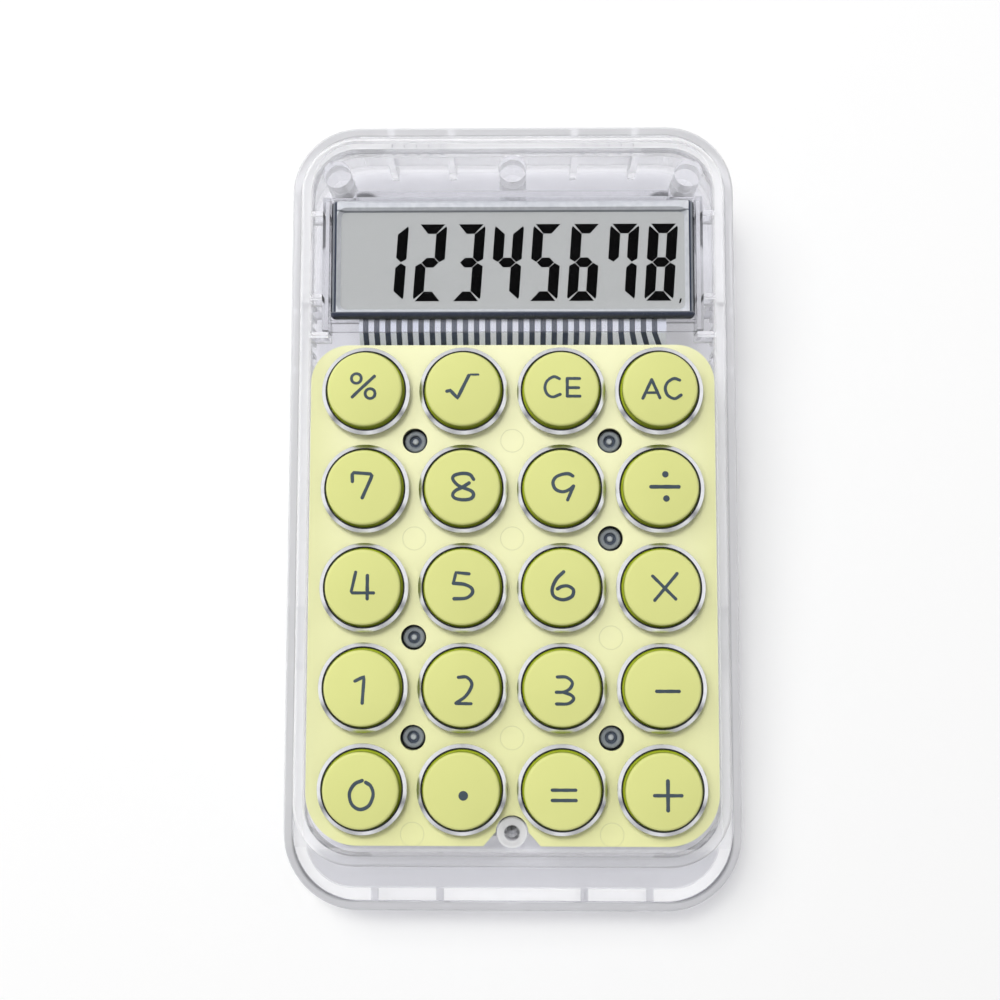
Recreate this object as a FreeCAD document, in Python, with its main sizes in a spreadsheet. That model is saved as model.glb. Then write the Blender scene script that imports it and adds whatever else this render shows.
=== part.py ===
import FreeCAD, Part
import math
import os
import Sketcher

# Desk calculator with a clear two-shell case, twenty round keys and an eight-digit display.
# Every piece is drawn in the key frame: X to the right, Y from the user to the display, Z out of the
# top face, origin on the top face at the middle of the key grid.  The key frame is then tilted by
# key_tilt, so that the flat underside of the case is level, and raised to stand on the feet.

doc = FreeCAD.newDocument("desk_calculator")
sheet = doc.addObject("Spreadsheet::Sheet", "Sizes")

SIZES = [
    # case outline
    ("corner_front", 15.0),
    ("corner_back", 13.5),
    ("case_wall", 1.9),
    ("bottom_round", 3.0),
    ("rim_round", 0.5),
    ("key_tilt", 5.0),
    ("front_wall_height", 9.0),
    # raised top of the upper shell
    ("rim_depth", 5.0),
    ("side_ledge", 0.6),
    ("back_ledge", 2.1),
    ("chin_length", 9.1),
    ("plateau_corner_front", 12.0),
    ("plateau_corner_back", 11.0),
    ("lid_plate", 2.0),
    ("lid_wall", 1.8),
    ("top_round", 0.8),
    ("shell_clearance", 0.15),
    ("skirt_height", 4.0),
    ("skirt_wall", 1.5),
    # key grid
    ("key_pitch_x", 19.05),
    ("key_pitch_y", 19.15),
    ("key_radius", 7.25),
    ("key_clearance", 0.4),
    ("key_rise", 3.2),
    ("key_dome", 0.5),
    ("key_edge_round", 0.6),
    ("key_top_wall", 1.5),
    ("key_side_wall", 1.3),
    ("key_stem_radius", 2.0),
    ("key_flange_gap", 0.5),
    ("key_flange_corner", 5.2),
    ("key_flange_thickness", 1.0),
    ("key_rest_gap", 0.2),
    ("key_travel", 2.0),
    # trim rings round the keys
    ("ring_width", 0.95),
    ("ring_height", 0.55),
    ("ring_edge", 0.15),
    ("ring_land", 0.25),
    ("ring_seat", 0.3),
    ("ring_gap", 0.05),
    # key panel
    ("panel_thickness", 1.6),
    ("panel_side_margin", 3.375),
    ("panel_back_margin", 1.75),
    ("panel_side_gap", 0.5),
    ("panel_front_gap", 2.0),
    ("panel_corner_front", 10.0),
    ("panel_corner_back", 7.5),
    ("panel_rib_width", 1.6),
    ("panel_rib_height", 2.4),
    ("panel_rib_reach", 4.0),
    ("panel_boss_wall", 0.55),
    ("notch_gap", 0.4),
    ("notch_flare", 2.4),
    # rubber mat and board
    ("mat_room", 1.0),
    ("mat_thickness", 0.8),
    ("mat_back_inset", 2.5),
    ("mat_inset", 1.0),
    ("dome_base_radius", 5.6),
    ("dome_top_radius", 3.0),
    ("dome_foot_wall", 1.2),
    ("dome_skin", 0.8),
    ("dome_rest_gap", 0.15),
    ("board_thickness", 1.6),
    ("board_back_inset", 0.3),
    ("board_inset", 0.9),
    ("hole_clearance", 0.4),
    # screws
    ("screw_head_radius", 2.0),
    ("screw_head_height", 1.4),
    ("screw_shank_radius", 1.0),
    ("screw_head_gap", 0.45),
    ("screw_seat_depth", 2.8),
    ("screw_bite", 5.0),
    ("post_radius", 2.6),
    ("pilot_clearance", 0.08),
    # front boss
    ("boss_offset", 0.45),
    ("boss_front_room", 2.7),
    ("boss_radius", 2.7),
    ("boss_length", 8.6),
    ("boss_roof", 1.0),
    ("boss_tip_gap", 0.8),
    ("boss_seat", 2.0),
    ("foot_post_radius", 3.6),
    # rear pins
    ("pin_side_room", 4.1),
    ("pin_back_room", 4.1),
    ("pin_front_gap", 0.7),
    ("pin_radius", 2.8),
    ("pin_length", 9.0),
    ("pin_middle_offset", 1.0),
    # display
    ("display_gap", 3.1),
    ("display_side_gap", 2.4),
    ("window_height", 19.8),
    ("window_corner", 1.2),
    ("frame_border_x", 1.8),
    ("frame_border_y", 2.1),
    ("frame_corner", 1.0),
    ("frame_depth", 1.4),
    ("frame_thickness", 1.2),
    ("frame_bevel", 0.7),
    ("frame_edge", 0.5),
    ("glass_inset", 0.5),
    ("glass_thickness", 1.8),
    ("holder_floor", 1.4),
    ("holder_gap", 0.2),
    ("holder_wall", 1.3),
    ("holder_back_inset", 6.4),
    ("holder_lip_length", 2.4),
    ("holder_lip_thickness", 0.8),
    ("rib_width", 1.2),
    ("rib_back_offset", 8.2),
    ("rib_front_offset", 8.6),
    ("rib_lip_gap", 0.4),
    # ribbon
    ("ribbon_inset", 5.6),
    ("ribbon_thickness", 0.3),
    ("ribbon_landing", 1.6),
    # clips
    ("clip_corner_gap", 3.9),
    ("clip_front_y", -9.0),
    ("clip_back_y", 52.0),
    ("clip_half", 6.3),
    ("clip_rib", 1.4),
    ("clip_rib_depth", 2.4),
    ("hook_thickness", 1.1),
    ("hook_length", 2.2),
    ("hook_side_gap", 0.3),
    ("hook_rib", 0.7),
    ("hook_rib_depth", 1.2),
    ("catch_depth", 0.5),
    ("catch_drop", 1.2),
    ("catch_height", 0.8),
    ("catch_clearance", 0.2),
    # battery
    ("cell_y", 22.0),
    ("cell_radius", 10.0),
    ("cell_thickness", 3.2),
    ("cell_gap", 0.3),
    ("clip_sheet", 0.4),
    ("clip_width", 7.0),
    ("clip_side_gap", 0.4),
    ("clip_pad_length", 2.4),
    ("door_margin_x", 5.0),
    ("door_margin_y", 4.0),
    ("door_corner", 3.0),
    ("door_thickness", 1.2),
    ("door_clearance", 0.2),
    ("door_lip", 1.6),
    ("door_frame_height", 3.0),
    ("door_leg", 1.2),
    ("door_tongue_width", 8.0),
    ("door_tongue_length", 0.8),
    ("door_tongue_thickness", 0.8),
    # chip and feet
    ("chip_y", -16.0),
    ("chip_radius", 5.5),
    ("chip_height", 1.5),
    ("foot_radius", 4.5),
    ("foot_height", 1.0),
    ("foot_recess", 0.6),
    ("foot_side_inset", 12.4),
    ("foot_end_inset", 16.2),
    ("foot_bevel", 0.4),
]

for row, (alias, value) in enumerate(SIZES, start=1):
    sheet.set("A%d" % row, alias)
    sheet.set("B%d" % row, str(value))
    sheet.setAlias("B%d" % row, alias)
doc.recompute()


class Size:
    """A number kept together with the sheet formula that gives it."""

    def __init__(self, formula, number):
        self.formula = formula
        self.number = number

    def joined(self, sign, other, number):
        return Size("(%s %s %s)" % (self.formula, sign, other.formula), number)

    def __add__(self, other):
        other = as_size(other)
        return self.joined("+", other, self.number + other.number)

    def __sub__(self, other):
        other = as_size(other)
        return self.joined("-", other, self.number - other.number)

    def __mul__(self, other):
        other = as_size(other)
        return self.joined("*", other, self.number * other.number)

    def __truediv__(self, other):
        other = as_size(other)
        return self.joined("/", other, self.number / other.number)

    def __neg__(self):
        return Size("(0 - %s)" % self.formula, -self.number)


def as_size(value):
    if isinstance(value, Size):
        return value
    return Size(repr(float(value)), float(value))


def size(alias):
    return Size("Sizes." + alias, float(sheet.get(alias)))


def sin(angle):
    return Size("sin(%s * 1 deg)" % angle.formula, math.sin(math.radians(angle.number)))


def cos(angle):
    return Size("cos(%s * 1 deg)" % angle.formula, math.cos(math.radians(angle.number)))


def tan(angle):
    return Size("tan(%s * 1 deg)" % angle.formula, math.tan(math.radians(angle.number)))


ZERO = Size("0", 0.0)
X_AXIS = FreeCAD.Vector(1, 0, 0)

# Key names by row from the display end, and by column from the left
KEY_ROWS = [
    ["key_percent", "key_root", "key_clear_entry", "key_all_clear"],
    ["key_seven", "key_eight", "key_nine", "key_divide"],
    ["key_four", "key_five", "key_six", "key_multiply"],
    ["key_one", "key_two", "key_three", "key_minus"],
    ["key_zero", "key_point", "key_equals", "key_plus"],
]
ROW_COUNT = len(KEY_ROWS)
COLUMN_COUNT = len(KEY_ROWS[0])


def key_x(column):
    return size("key_pitch_x") * (column - (COLUMN_COUNT - 1) / 2)


def key_y(row):
    return size("key_pitch_y") * ((ROW_COUNT - 1) / 2 - row)


# Depths below the top face, from the top down
tilt = size("key_tilt")
wall = size("case_wall")
panel_top = size("lid_plate")
panel_under = panel_top + size("panel_thickness")
flange_top = panel_under + size("key_rest_gap")
flange_under = flange_top + size("key_flange_thickness")
dome_top = flange_under + size("dome_rest_gap")
mat_top = flange_under + size("key_travel") + size("mat_room")
board_top = mat_top + size("mat_thickness")
board_under = board_top + size("board_thickness")
base_front = size("rim_depth") + size("front_wall_height")
skirt_under = size("rim_depth") + size("skirt_height")
boss_end = size("lid_plate") + size("boss_length")
frame_top = size("lid_plate") + size("frame_depth")
frame_under = frame_top + size("frame_thickness")
glass_under = frame_under + size("glass_thickness")
holder_under = glass_under + size("holder_floor")

# Widths, from the key grid out to the case
hole_radius = size("key_radius") + size("key_clearance")
ring_radius = hole_radius + size("ring_width")
panel_x = key_x(COLUMN_COUNT - 1) + hole_radius + size("panel_side_margin")
lid_inner_x = panel_x + size("panel_side_gap")
plateau_x = lid_inner_x + size("lid_wall")
inner_x = plateau_x + size("side_ledge")
half_width = inner_x + wall
board_x = panel_x - size("board_inset")
holder_x = lid_inner_x - size("display_side_gap")
holder_inner_x = holder_x - size("holder_wall")
frame_x = holder_inner_x - size("holder_gap")
window_x = frame_x - size("frame_border_x")
pin_x = plateau_x - size("pin_side_room") - size("pin_radius")

# Lengths to the front, from the key grid out to the case
boss_y = key_y(0) + hole_radius + size("boss_offset")
panel_front = boss_y + size("boss_front_room")
board_front = panel_front - size("board_inset")
plateau_front = panel_front + size("panel_front_gap") + size("lid_wall")
case_front = plateau_front + size("chin_length")
inner_front = case_front - wall

# Lengths to the back, from the key grid over the display to the case
panel_back = key_y(0) + hole_radius + size("panel_back_margin")
board_back = panel_back - size("board_back_inset")
window_y = size("window_height") / 2
frame_y = window_y + size("frame_border_y")
holder_inner_y = frame_y + size("holder_gap")
lip_front = panel_back + size("display_gap")
lip_back = lip_front + size("holder_lip_length")
display_y = lip_back + holder_inner_y
holder_back = display_y + holder_inner_y
pin_y = holder_back + size("holder_wall") + size("pin_front_gap") + size("pin_radius")
plateau_back = pin_y + size("pin_radius") + size("pin_back_room")
inner_back = plateau_back + size("back_ledge")
case_back = inner_back + wall

# Holes and wells of the screws
pilot_radius = size("screw_shank_radius") + size("pilot_clearance")
head_well = size("screw_head_radius") + size("screw_head_gap")
panel_boss_radius = head_well + size("panel_boss_wall")
notch_throat = size("boss_radius") + size("notch_gap")

# Place of the key frame over the level ground: the flat underside lies foot_height above it,
# and the origin is under the middle of the case
base_level = -(base_front * cos(tilt)) - case_front * sin(tilt)
round_level = base_level + size("bottom_round")
rear_reach = (case_back - size("bottom_round") - round_level * sin(tilt)) / cos(tilt)
rear_reach = rear_reach + size("bottom_round")
front_reach = case_front * cos(tilt) - size("rim_depth") * sin(tilt)
shift_y = (front_reach - rear_reach) / 2
shift_z = size("foot_height") - base_level


def depth_of_base(y):
    """Depth of the flat underside below the top face, measured along the key frame's Z."""
    return base_front + (y + case_front) * tan(tilt)


def new_body(label):
    body = doc.addObject("PartDesign::Body", label)
    body.Label = label
    return body


def set_in_key_frame(body):
    body.Placement = FreeCAD.Placement(
        FreeCAD.Vector(0, shift_y.number, shift_z.number), FreeCAD.Rotation(X_AXIS, tilt.number)
    )
    body.setExpression("Placement.Base.y", shift_y.formula)
    body.setExpression("Placement.Base.z", shift_z.formula)
    body.setExpression("Placement.Rotation.Angle", tilt.formula)


def origin_plane(body, role):
    for feature in body.Origin.OriginFeatures:
        if feature.Role == role:
            return feature
    raise ValueError("no plane " + role)


def sketch_at(body, name, role="XY_Plane", offset=ZERO, across=ZERO):
    """A sketch on one of the body's planes, moved along that plane's normal and its own X."""
    sketch = body.newObject("Sketcher::SketchObject", name)
    sketch.AttachmentSupport = (origin_plane(body, role), [""])
    sketch.MapMode = "FlatFace"
    sketch.AttachmentOffset = FreeCAD.Placement(
        FreeCAD.Vector(across.number, 0, offset.number), FreeCAD.Rotation()
    )
    sketch.setExpression("AttachmentOffset.Base.x", across.formula)
    sketch.setExpression("AttachmentOffset.Base.z", offset.formula)
    return sketch


def sketch_on_ground(body, name, height):
    """A level sketch inside a tilted body, with the ground's own X and Y."""
    y = (height - shift_z) * sin(tilt) - shift_y * cos(tilt)
    z = (height - shift_z) * cos(tilt) + shift_y * sin(tilt)
    sketch = body.newObject("Sketcher::SketchObject", name)
    sketch.AttachmentSupport = (origin_plane(body, "XY_Plane"), [""])
    sketch.MapMode = "FlatFace"
    sketch.AttachmentOffset = FreeCAD.Placement(
        FreeCAD.Vector(0, y.number, z.number), FreeCAD.Rotation(X_AXIS, -tilt.number)
    )
    sketch.setExpression("AttachmentOffset.Base.y", y.formula)
    sketch.setExpression("AttachmentOffset.Base.z", z.formula)
    sketch.setExpression("AttachmentOffset.Rotation.Angle", (-tilt).formula)
    return sketch


def bind(sketch, constraint, value):
    index = sketch.addConstraint(constraint)
    sketch.setExpression("Constraints[%d]" % index, value.formula)


ORIGIN_POINT = (-1, 1)
START = 1
END = 2
CENTRE = 3


def pin_point(sketch, geometry, point, x, y):
    """Holds one point of a sketch at x, y from the sketch's origin."""
    for kind, value in (("DistanceX", x), ("DistanceY", y)):
        bind(sketch, Sketcher.Constraint(kind, *ORIGIN_POINT, geometry, point, value.number), value)


def circle(sketch, x, y, radius):
    centre = FreeCAD.Vector(x.number, y.number, 0)
    index = sketch.addGeometry(Part.Circle(centre, FreeCAD.Vector(0, 0, 1), radius.number), False)
    pin_point(sketch, index, CENTRE, x, y)
    bind(sketch, Sketcher.Constraint("Radius", index, radius.number), radius)
    return index


def polygon(sketch, points):
    """A closed outline of straight lines through the given points."""
    vectors = [FreeCAD.Vector(x.number, y.number, 0) for x, y in points]
    first = sketch.GeometryCount
    count = len(points)
    for i in range(count):
        sketch.addGeometry(Part.LineSegment(vectors[i], vectors[(i + 1) % count]), False)
    for i in range(count):
        following = first + (i + 1) % count
        sketch.addConstraint(Sketcher.Constraint("Coincident", first + i, END, following, START))
    for i, (x, y) in enumerate(points):
        pin_point(sketch, first + i, START, x, y)
    return first


UPRIGHT_AXIS = -2


def crowned_section(sketch, points):
    """Straight lines through the points, and an arc from the last one up to the first, which is on the
    upright axis and the top of the arc."""
    vectors = [FreeCAD.Vector(x.number, y.number, 0) for x, y in points]
    last = len(points) - 1
    for i in range(last):
        sketch.addGeometry(Part.LineSegment(vectors[i], vectors[i + 1]), False)
    crown, shoulder = vectors[0], vectors[last]
    drop = crown.y - shoulder.y
    radius = (shoulder.x ** 2 + drop ** 2) / (2 * drop)
    ring = Part.Circle(FreeCAD.Vector(0, crown.y - radius, 0), FreeCAD.Vector(0, 0, 1), radius)
    arc = Part.ArcOfCircle(ring, math.acos(shoulder.x / radius), math.pi / 2)
    sketch.addGeometry(arc, False)
    for i in range(last + 1):
        following = (i + 1) % (last + 1)
        sketch.addConstraint(Sketcher.Constraint("Coincident", i, END, following, START))
    sketch.addConstraint(Sketcher.Constraint("PointOnObject", last, CENTRE, UPRIGHT_AXIS))
    for i, (x, y) in enumerate(points):
        pin_point(sketch, i, START, x, y)


def rectangle(sketch, x0, x1, y0, y1):
    return polygon(sketch, [(x0, y0), (x1, y0), (x1, y1), (x0, y1)])


def rounded_rectangle(sketch, x0, x1, y0, y1, round_low, round_high):
    """A rectangle whose corners are round, with one radius at y0 and another at y1."""
    left, right, low, high = x0.number, x1.number, y0.number, y1.number
    r0, r1 = round_low.number, round_high.number
    quarter = math.pi / 2
    up = FreeCAD.Vector(0, 0, 1)

    def line(xa, ya, xb, yb):
        return Part.LineSegment(FreeCAD.Vector(xa, ya, 0), FreeCAD.Vector(xb, yb, 0))

    def arc(x, y, r, turn):
        ring = Part.Circle(FreeCAD.Vector(x, y, 0), up, r)
        return Part.ArcOfCircle(ring, turn * quarter, (turn + 1) * quarter)

    outline = [
        line(left + r0, low, right - r0, low),
        arc(right - r0, low + r0, r0, 3),
        line(right, low + r0, right, high - r1),
        arc(right - r1, high - r1, r1, 0),
        line(right - r1, high, left + r1, high),
        arc(left + r1, high - r1, r1, 1),
        line(left, high - r1, left, low + r0),
        arc(left + r0, low + r0, r0, 2),
    ]
    first = sketch.GeometryCount
    for piece in outline:
        sketch.addGeometry(piece, False)
    count = len(outline)
    for i in range(count):
        following = first + (i + 1) % count
        sketch.addConstraint(Sketcher.Constraint("Tangent", first + i, END, following, START))
    for i, kind in ((0, "Horizontal"), (2, "Vertical"), (4, "Horizontal"), (6, "Vertical")):
        sketch.addConstraint(Sketcher.Constraint(kind, first + i))
    for i, radius in ((1, round_low), (3, round_high), (5, round_high), (7, round_low)):
        bind(sketch, Sketcher.Constraint("Radius", first + i, radius.number), radius)
    sides = ((0, "DistanceY", y0), (2, "DistanceX", x1), (4, "DistanceY", y1), (6, "DistanceX", x0))
    for i, kind, value in sides:
        bind(sketch, Sketcher.Constraint(kind, *ORIGIN_POINT, first + i, START, value.number), value)
    return first


def pad(body, sketch, length, name, down=False, symmetric=False):
    feature = body.newObject("PartDesign::Pad", name)
    feature.Profile = sketch
    feature.Length = length.number
    feature.setExpression("Length", length.formula)
    feature.Reversed = down
    if symmetric:
        feature.SideType = "Symmetric"
    doc.recompute()
    return feature


def pocket(body, sketch, length, name, up=False, symmetric=False):
    before = body.Tip.Shape.Volume
    feature = body.newObject("PartDesign::Pocket", name)
    feature.Profile = sketch
    feature.Length = length.number
    feature.setExpression("Length", length.formula)
    feature.Reversed = up
    if symmetric:
        feature.SideType = "Symmetric"
    doc.recompute()
    if feature.Shape.Volume >= before:
        raise ValueError("the cut %s of %s takes nothing away" % (name, body.Label))
    return feature


def revolve(body, sketch, name):
    feature = body.newObject("PartDesign::Revolution", name)
    feature.Profile = sketch
    feature.ReferenceAxis = (sketch, ["V_Axis"])
    feature.Angle = 360.0
    doc.recompute()
    return feature


def edges_where(feature, test):
    return ["Edge%d" % (i + 1) for i, edge in enumerate(feature.Shape.Edges) if test(edge)]


def fillet(body, feature, test, radius, name):
    rounded = body.newObject("PartDesign::Fillet", name)
    rounded.Base = (feature, edges_where(feature, test))
    rounded.Radius = radius.number
    rounded.setExpression("Radius", radius.formula)
    doc.recompute()
    return rounded


def chamfer(body, feature, test, width, name):
    bevelled = body.newObject("PartDesign::Chamfer", name)
    bevelled.Base = (feature, edges_where(feature, test))
    bevelled.Size = width.number
    bevelled.setExpression("Size", width.formula)
    doc.recompute()
    return bevelled


NEAR = 1e-4


def level_edge(height):
    """True for an edge that lies flat at the given height of the body's own frame."""

    def test(edge):
        box = edge.BoundBox
        return abs(box.ZMin - height.number) < NEAR and abs(box.ZMax - height.number) < NEAR

    return test


# The six panel screws sit where four keys meet: columns between keys, rows between keys
SCREW_CROSSINGS = [(0, 0), (2, 0), (2, 1), (0, 2), (0, 3), (2, 3)]


def crossing(column, row):
    x = (key_x(column) + key_x(column + 1)) / 2
    y = (key_y(row) + key_y(row + 1)) / 2
    return x, y


SCREW_CENTRES = [crossing(c, r) for c, r in SCREW_CROSSINGS]

# The rear pins of the upper shell stand on posts of the lower shell, the middle one nearer to the wall
PIN_CENTRES = [(-pin_x, pin_y), (ZERO, pin_y + size("pin_middle_offset")), (pin_x, pin_y)]


def case_outline(sketch, inset, x_half, front, back):
    rounded_rectangle(
        sketch,
        -(x_half - inset),
        x_half - inset,
        -(front - inset),
        back - inset,
        size("corner_front") - (half_width - x_half) - inset,
        size("corner_back") - (half_width - x_half) - inset,
    )


# Snap clips: eight places along the walls, each with a pair of ribs in the lower shell that carry the
# skirt of the upper shell, and between them a hook stiffened by a row of small ribs
HOOK_RIBS = 5
hook_half = size("clip_half") - size("clip_rib") / 2 - size("hook_side_gap")
hook_under = skirt_under + size("hook_length")
clip_x = half_width - size("corner_front") - size("clip_corner_gap") - size("clip_half")
CLIPS = [
    ("front", -clip_x),
    ("front", clip_x),
    ("back", -clip_x),
    ("back", clip_x),
    ("left", size("clip_front_y")),
    ("left", size("clip_back_y")),
    ("right", size("clip_front_y")),
    ("right", size("clip_back_y")),
]


def wall_rectangle(sketch, side, low, high, inward, outward):
    """A rectangle along one wall, from low to high, measured from the wall's inner face."""
    if side == "front":
        rectangle(sketch, low, high, -(inner_front + outward), -(inner_front - inward))
    elif side == "back":
        rectangle(sketch, low, high, inner_back - inward, inner_back + outward)
    elif side == "left":
        rectangle(sketch, -(inner_x + outward), -(inner_x - inward), low, high)
    else:
        rectangle(sketch, inner_x - inward, inner_x + outward, low, high)


def plateau_outline(sketch, inset):
    rounded_rectangle(
        sketch,
        -(plateau_x - inset),
        plateau_x - inset,
        -(plateau_front - inset),
        plateau_back - inset,
        size("plateau_corner_front") - inset,
        size("plateau_corner_back") - inset,
    )


def key_pattern(body, originals, name):
    """Repeats features made at the first key over the whole key grid."""
    grid = body.newObject("PartDesign::MultiTransform", name)
    grid.Originals = originals
    steps = (
        ("X_Axis", COLUMN_COUNT, size("key_pitch_x"), False),
        ("Y_Axis", ROW_COUNT, size("key_pitch_y"), True),
    )
    patterns = []
    for role, count, pitch, backward in steps:
        row = body.newObject("PartDesign::LinearPattern", name + "_" + role[0].lower())
        row.Direction = (origin_plane(body, role), [""])
        row.Mode = "Spacing"
        row.Offset = pitch.number
        row.setExpression("Offset", pitch.formula)
        row.Occurrences = count
        row.Reversed = backward
        patterns.append(row)
    grid.Transformations = patterns
    body.Tip = grid
    doc.recompute()
    return grid


FIRST_KEY = (key_x(0), key_y(0))


# Upper shell: a clear lid with a raised top, a low chin at the front and a skirt that nests in the
# lower shell
def make_upper_shell():
    body = new_body("upper_shell")
    skirt_x = inner_x - size("shell_clearance")
    skirt_front = inner_front - size("shell_clearance")
    skirt_back = inner_back - size("shell_clearance")
    chin_under = size("rim_depth") + size("lid_wall")

    outline = sketch_at(body, "skirt_outline", offset=-skirt_under)
    case_outline(outline, ZERO, skirt_x, skirt_front, skirt_back)
    pad(body, outline, size("skirt_height"), "skirt")
    outline = sketch_at(body, "top_outline", offset=-skirt_under)
    plateau_outline(outline, ZERO)
    top = pad(body, outline, skirt_under, "raised_top")
    fillet(body, top, level_edge(ZERO), size("top_round"), "top_edge")

    hollow = sketch_at(body, "top_hollow_outline", offset=-size("lid_plate"))
    plateau_outline(hollow, size("lid_wall"))
    pocket(body, hollow, skirt_under - size("lid_plate"), "top_hollow")
    hollow = sketch_at(body, "chin_hollow_outline", offset=-chin_under)
    case_outline(hollow, size("skirt_wall"), skirt_x, skirt_front, skirt_back)
    pocket(body, hollow, skirt_under - chin_under, "chin_hollow")

    groove = sketch_at(body, "ring_seat_outline")
    circle(groove, *FIRST_KEY, ring_radius + size("ring_gap"))
    seat = pocket(body, groove, size("ring_seat"), "ring_seat")
    bore = sketch_at(body, "key_hole_outline")
    circle(bore, *FIRST_KEY, hole_radius)
    hole = pocket(body, bore, size("lid_plate"), "key_hole")
    key_pattern(body, [seat, hole], "key_holes")

    boss = sketch_at(body, "boss_outline", offset=-size("lid_plate"))
    circle(boss, ZERO, -boss_y, size("boss_radius"))
    pad(body, boss, size("boss_length"), "front_boss", down=True)
    bore = sketch_at(body, "boss_bore_outline", offset=-(size("lid_plate") + size("boss_roof")))
    circle(bore, ZERO, -boss_y, pilot_radius)
    pocket(body, bore, size("boss_length") - size("boss_roof"), "boss_bore")

    pins = sketch_at(body, "pin_outline", offset=-size("lid_plate"))
    for x, y in PIN_CENTRES:
        circle(pins, x, y, size("pin_radius"))
    pad(body, pins, size("pin_length"), "rear_pins", down=True)

    ribs = sketch_at(body, "rib_outline", offset=-size("lid_plate"))
    for low, reach in (
        (display_y + size("rib_back_offset"), holder_x),
        (display_y - size("rib_front_offset"), holder_x),
        (lip_front - size("rib_lip_gap") - size("rib_width"), holder_inner_x),
    ):
        high = low + size("rib_width")
        rectangle(ribs, reach, plateau_x - size("lid_wall") / 2, low, high)
        rectangle(ribs, -(plateau_x - size("lid_wall") / 2), -reach, low, high)
    pad(body, ribs, holder_under - size("lid_plate"), "display_ribs", down=True)

    gap = size("shell_clearance")
    hooks = sketch_at(body, "hook_outline", offset=-(skirt_under - size("skirt_wall")))
    inward = gap + size("hook_thickness")
    for side, middle in CLIPS:
        wall_rectangle(hooks, side, middle - hook_half, middle + hook_half, inward, -gap)
    pad(body, hooks, size("hook_length") + size("skirt_wall"), "hooks", down=True)
    rib_top = chin_under - size("lid_wall") / 2
    step = (hook_half * 2 - size("hook_rib")) / (HOOK_RIBS - 1)
    reach = inward + size("hook_rib_depth")
    root = gap + size("hook_thickness") / 2
    for number, (side, middle) in enumerate(CLIPS):
        ribs = sketch_at(body, "hook_rib_outline_%d" % number, offset=-rib_top)
        for i in range(HOOK_RIBS):
            low = middle - hook_half + step * i
            wall_rectangle(ribs, side, low, low + size("hook_rib"), reach, -root)
        pad(body, ribs, hook_under - rib_top, "hook_ribs_%d" % number, down=True)
    catches = sketch_at(body, "catch_outline", offset=-(skirt_under + size("catch_drop")))
    inward = gap + size("hook_thickness") / 2
    reach = size("catch_depth") - gap
    for side, middle in CLIPS:
        wall_rectangle(catches, side, middle - hook_half, middle + hook_half, inward, reach)
    pad(body, catches, size("catch_height"), "catches", down=True)
    set_in_key_frame(body)
    return body


# Trim rings: a bright ring with a sloping face, in a shallow seat of the lid round each key hole
def make_key_rings():
    body = new_body("key_rings")
    body.AllowCompound = True
    first_x, first_y = FIRST_KEY
    section = sketch_at(body, "ring_section", role="XZ_Plane", offset=-first_y, across=first_x)
    points = [
        (hole_radius, -size("ring_seat")),
        (ring_radius, -size("ring_seat")),
        (ring_radius, size("ring_edge")),
        (hole_radius + size("ring_land"), size("ring_height")),
        (hole_radius, size("ring_height")),
    ]
    polygon(section, points)
    ring = revolve(body, section, "ring")
    key_pattern(body, [ring], "rings")
    set_in_key_frame(body)
    return body


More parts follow.
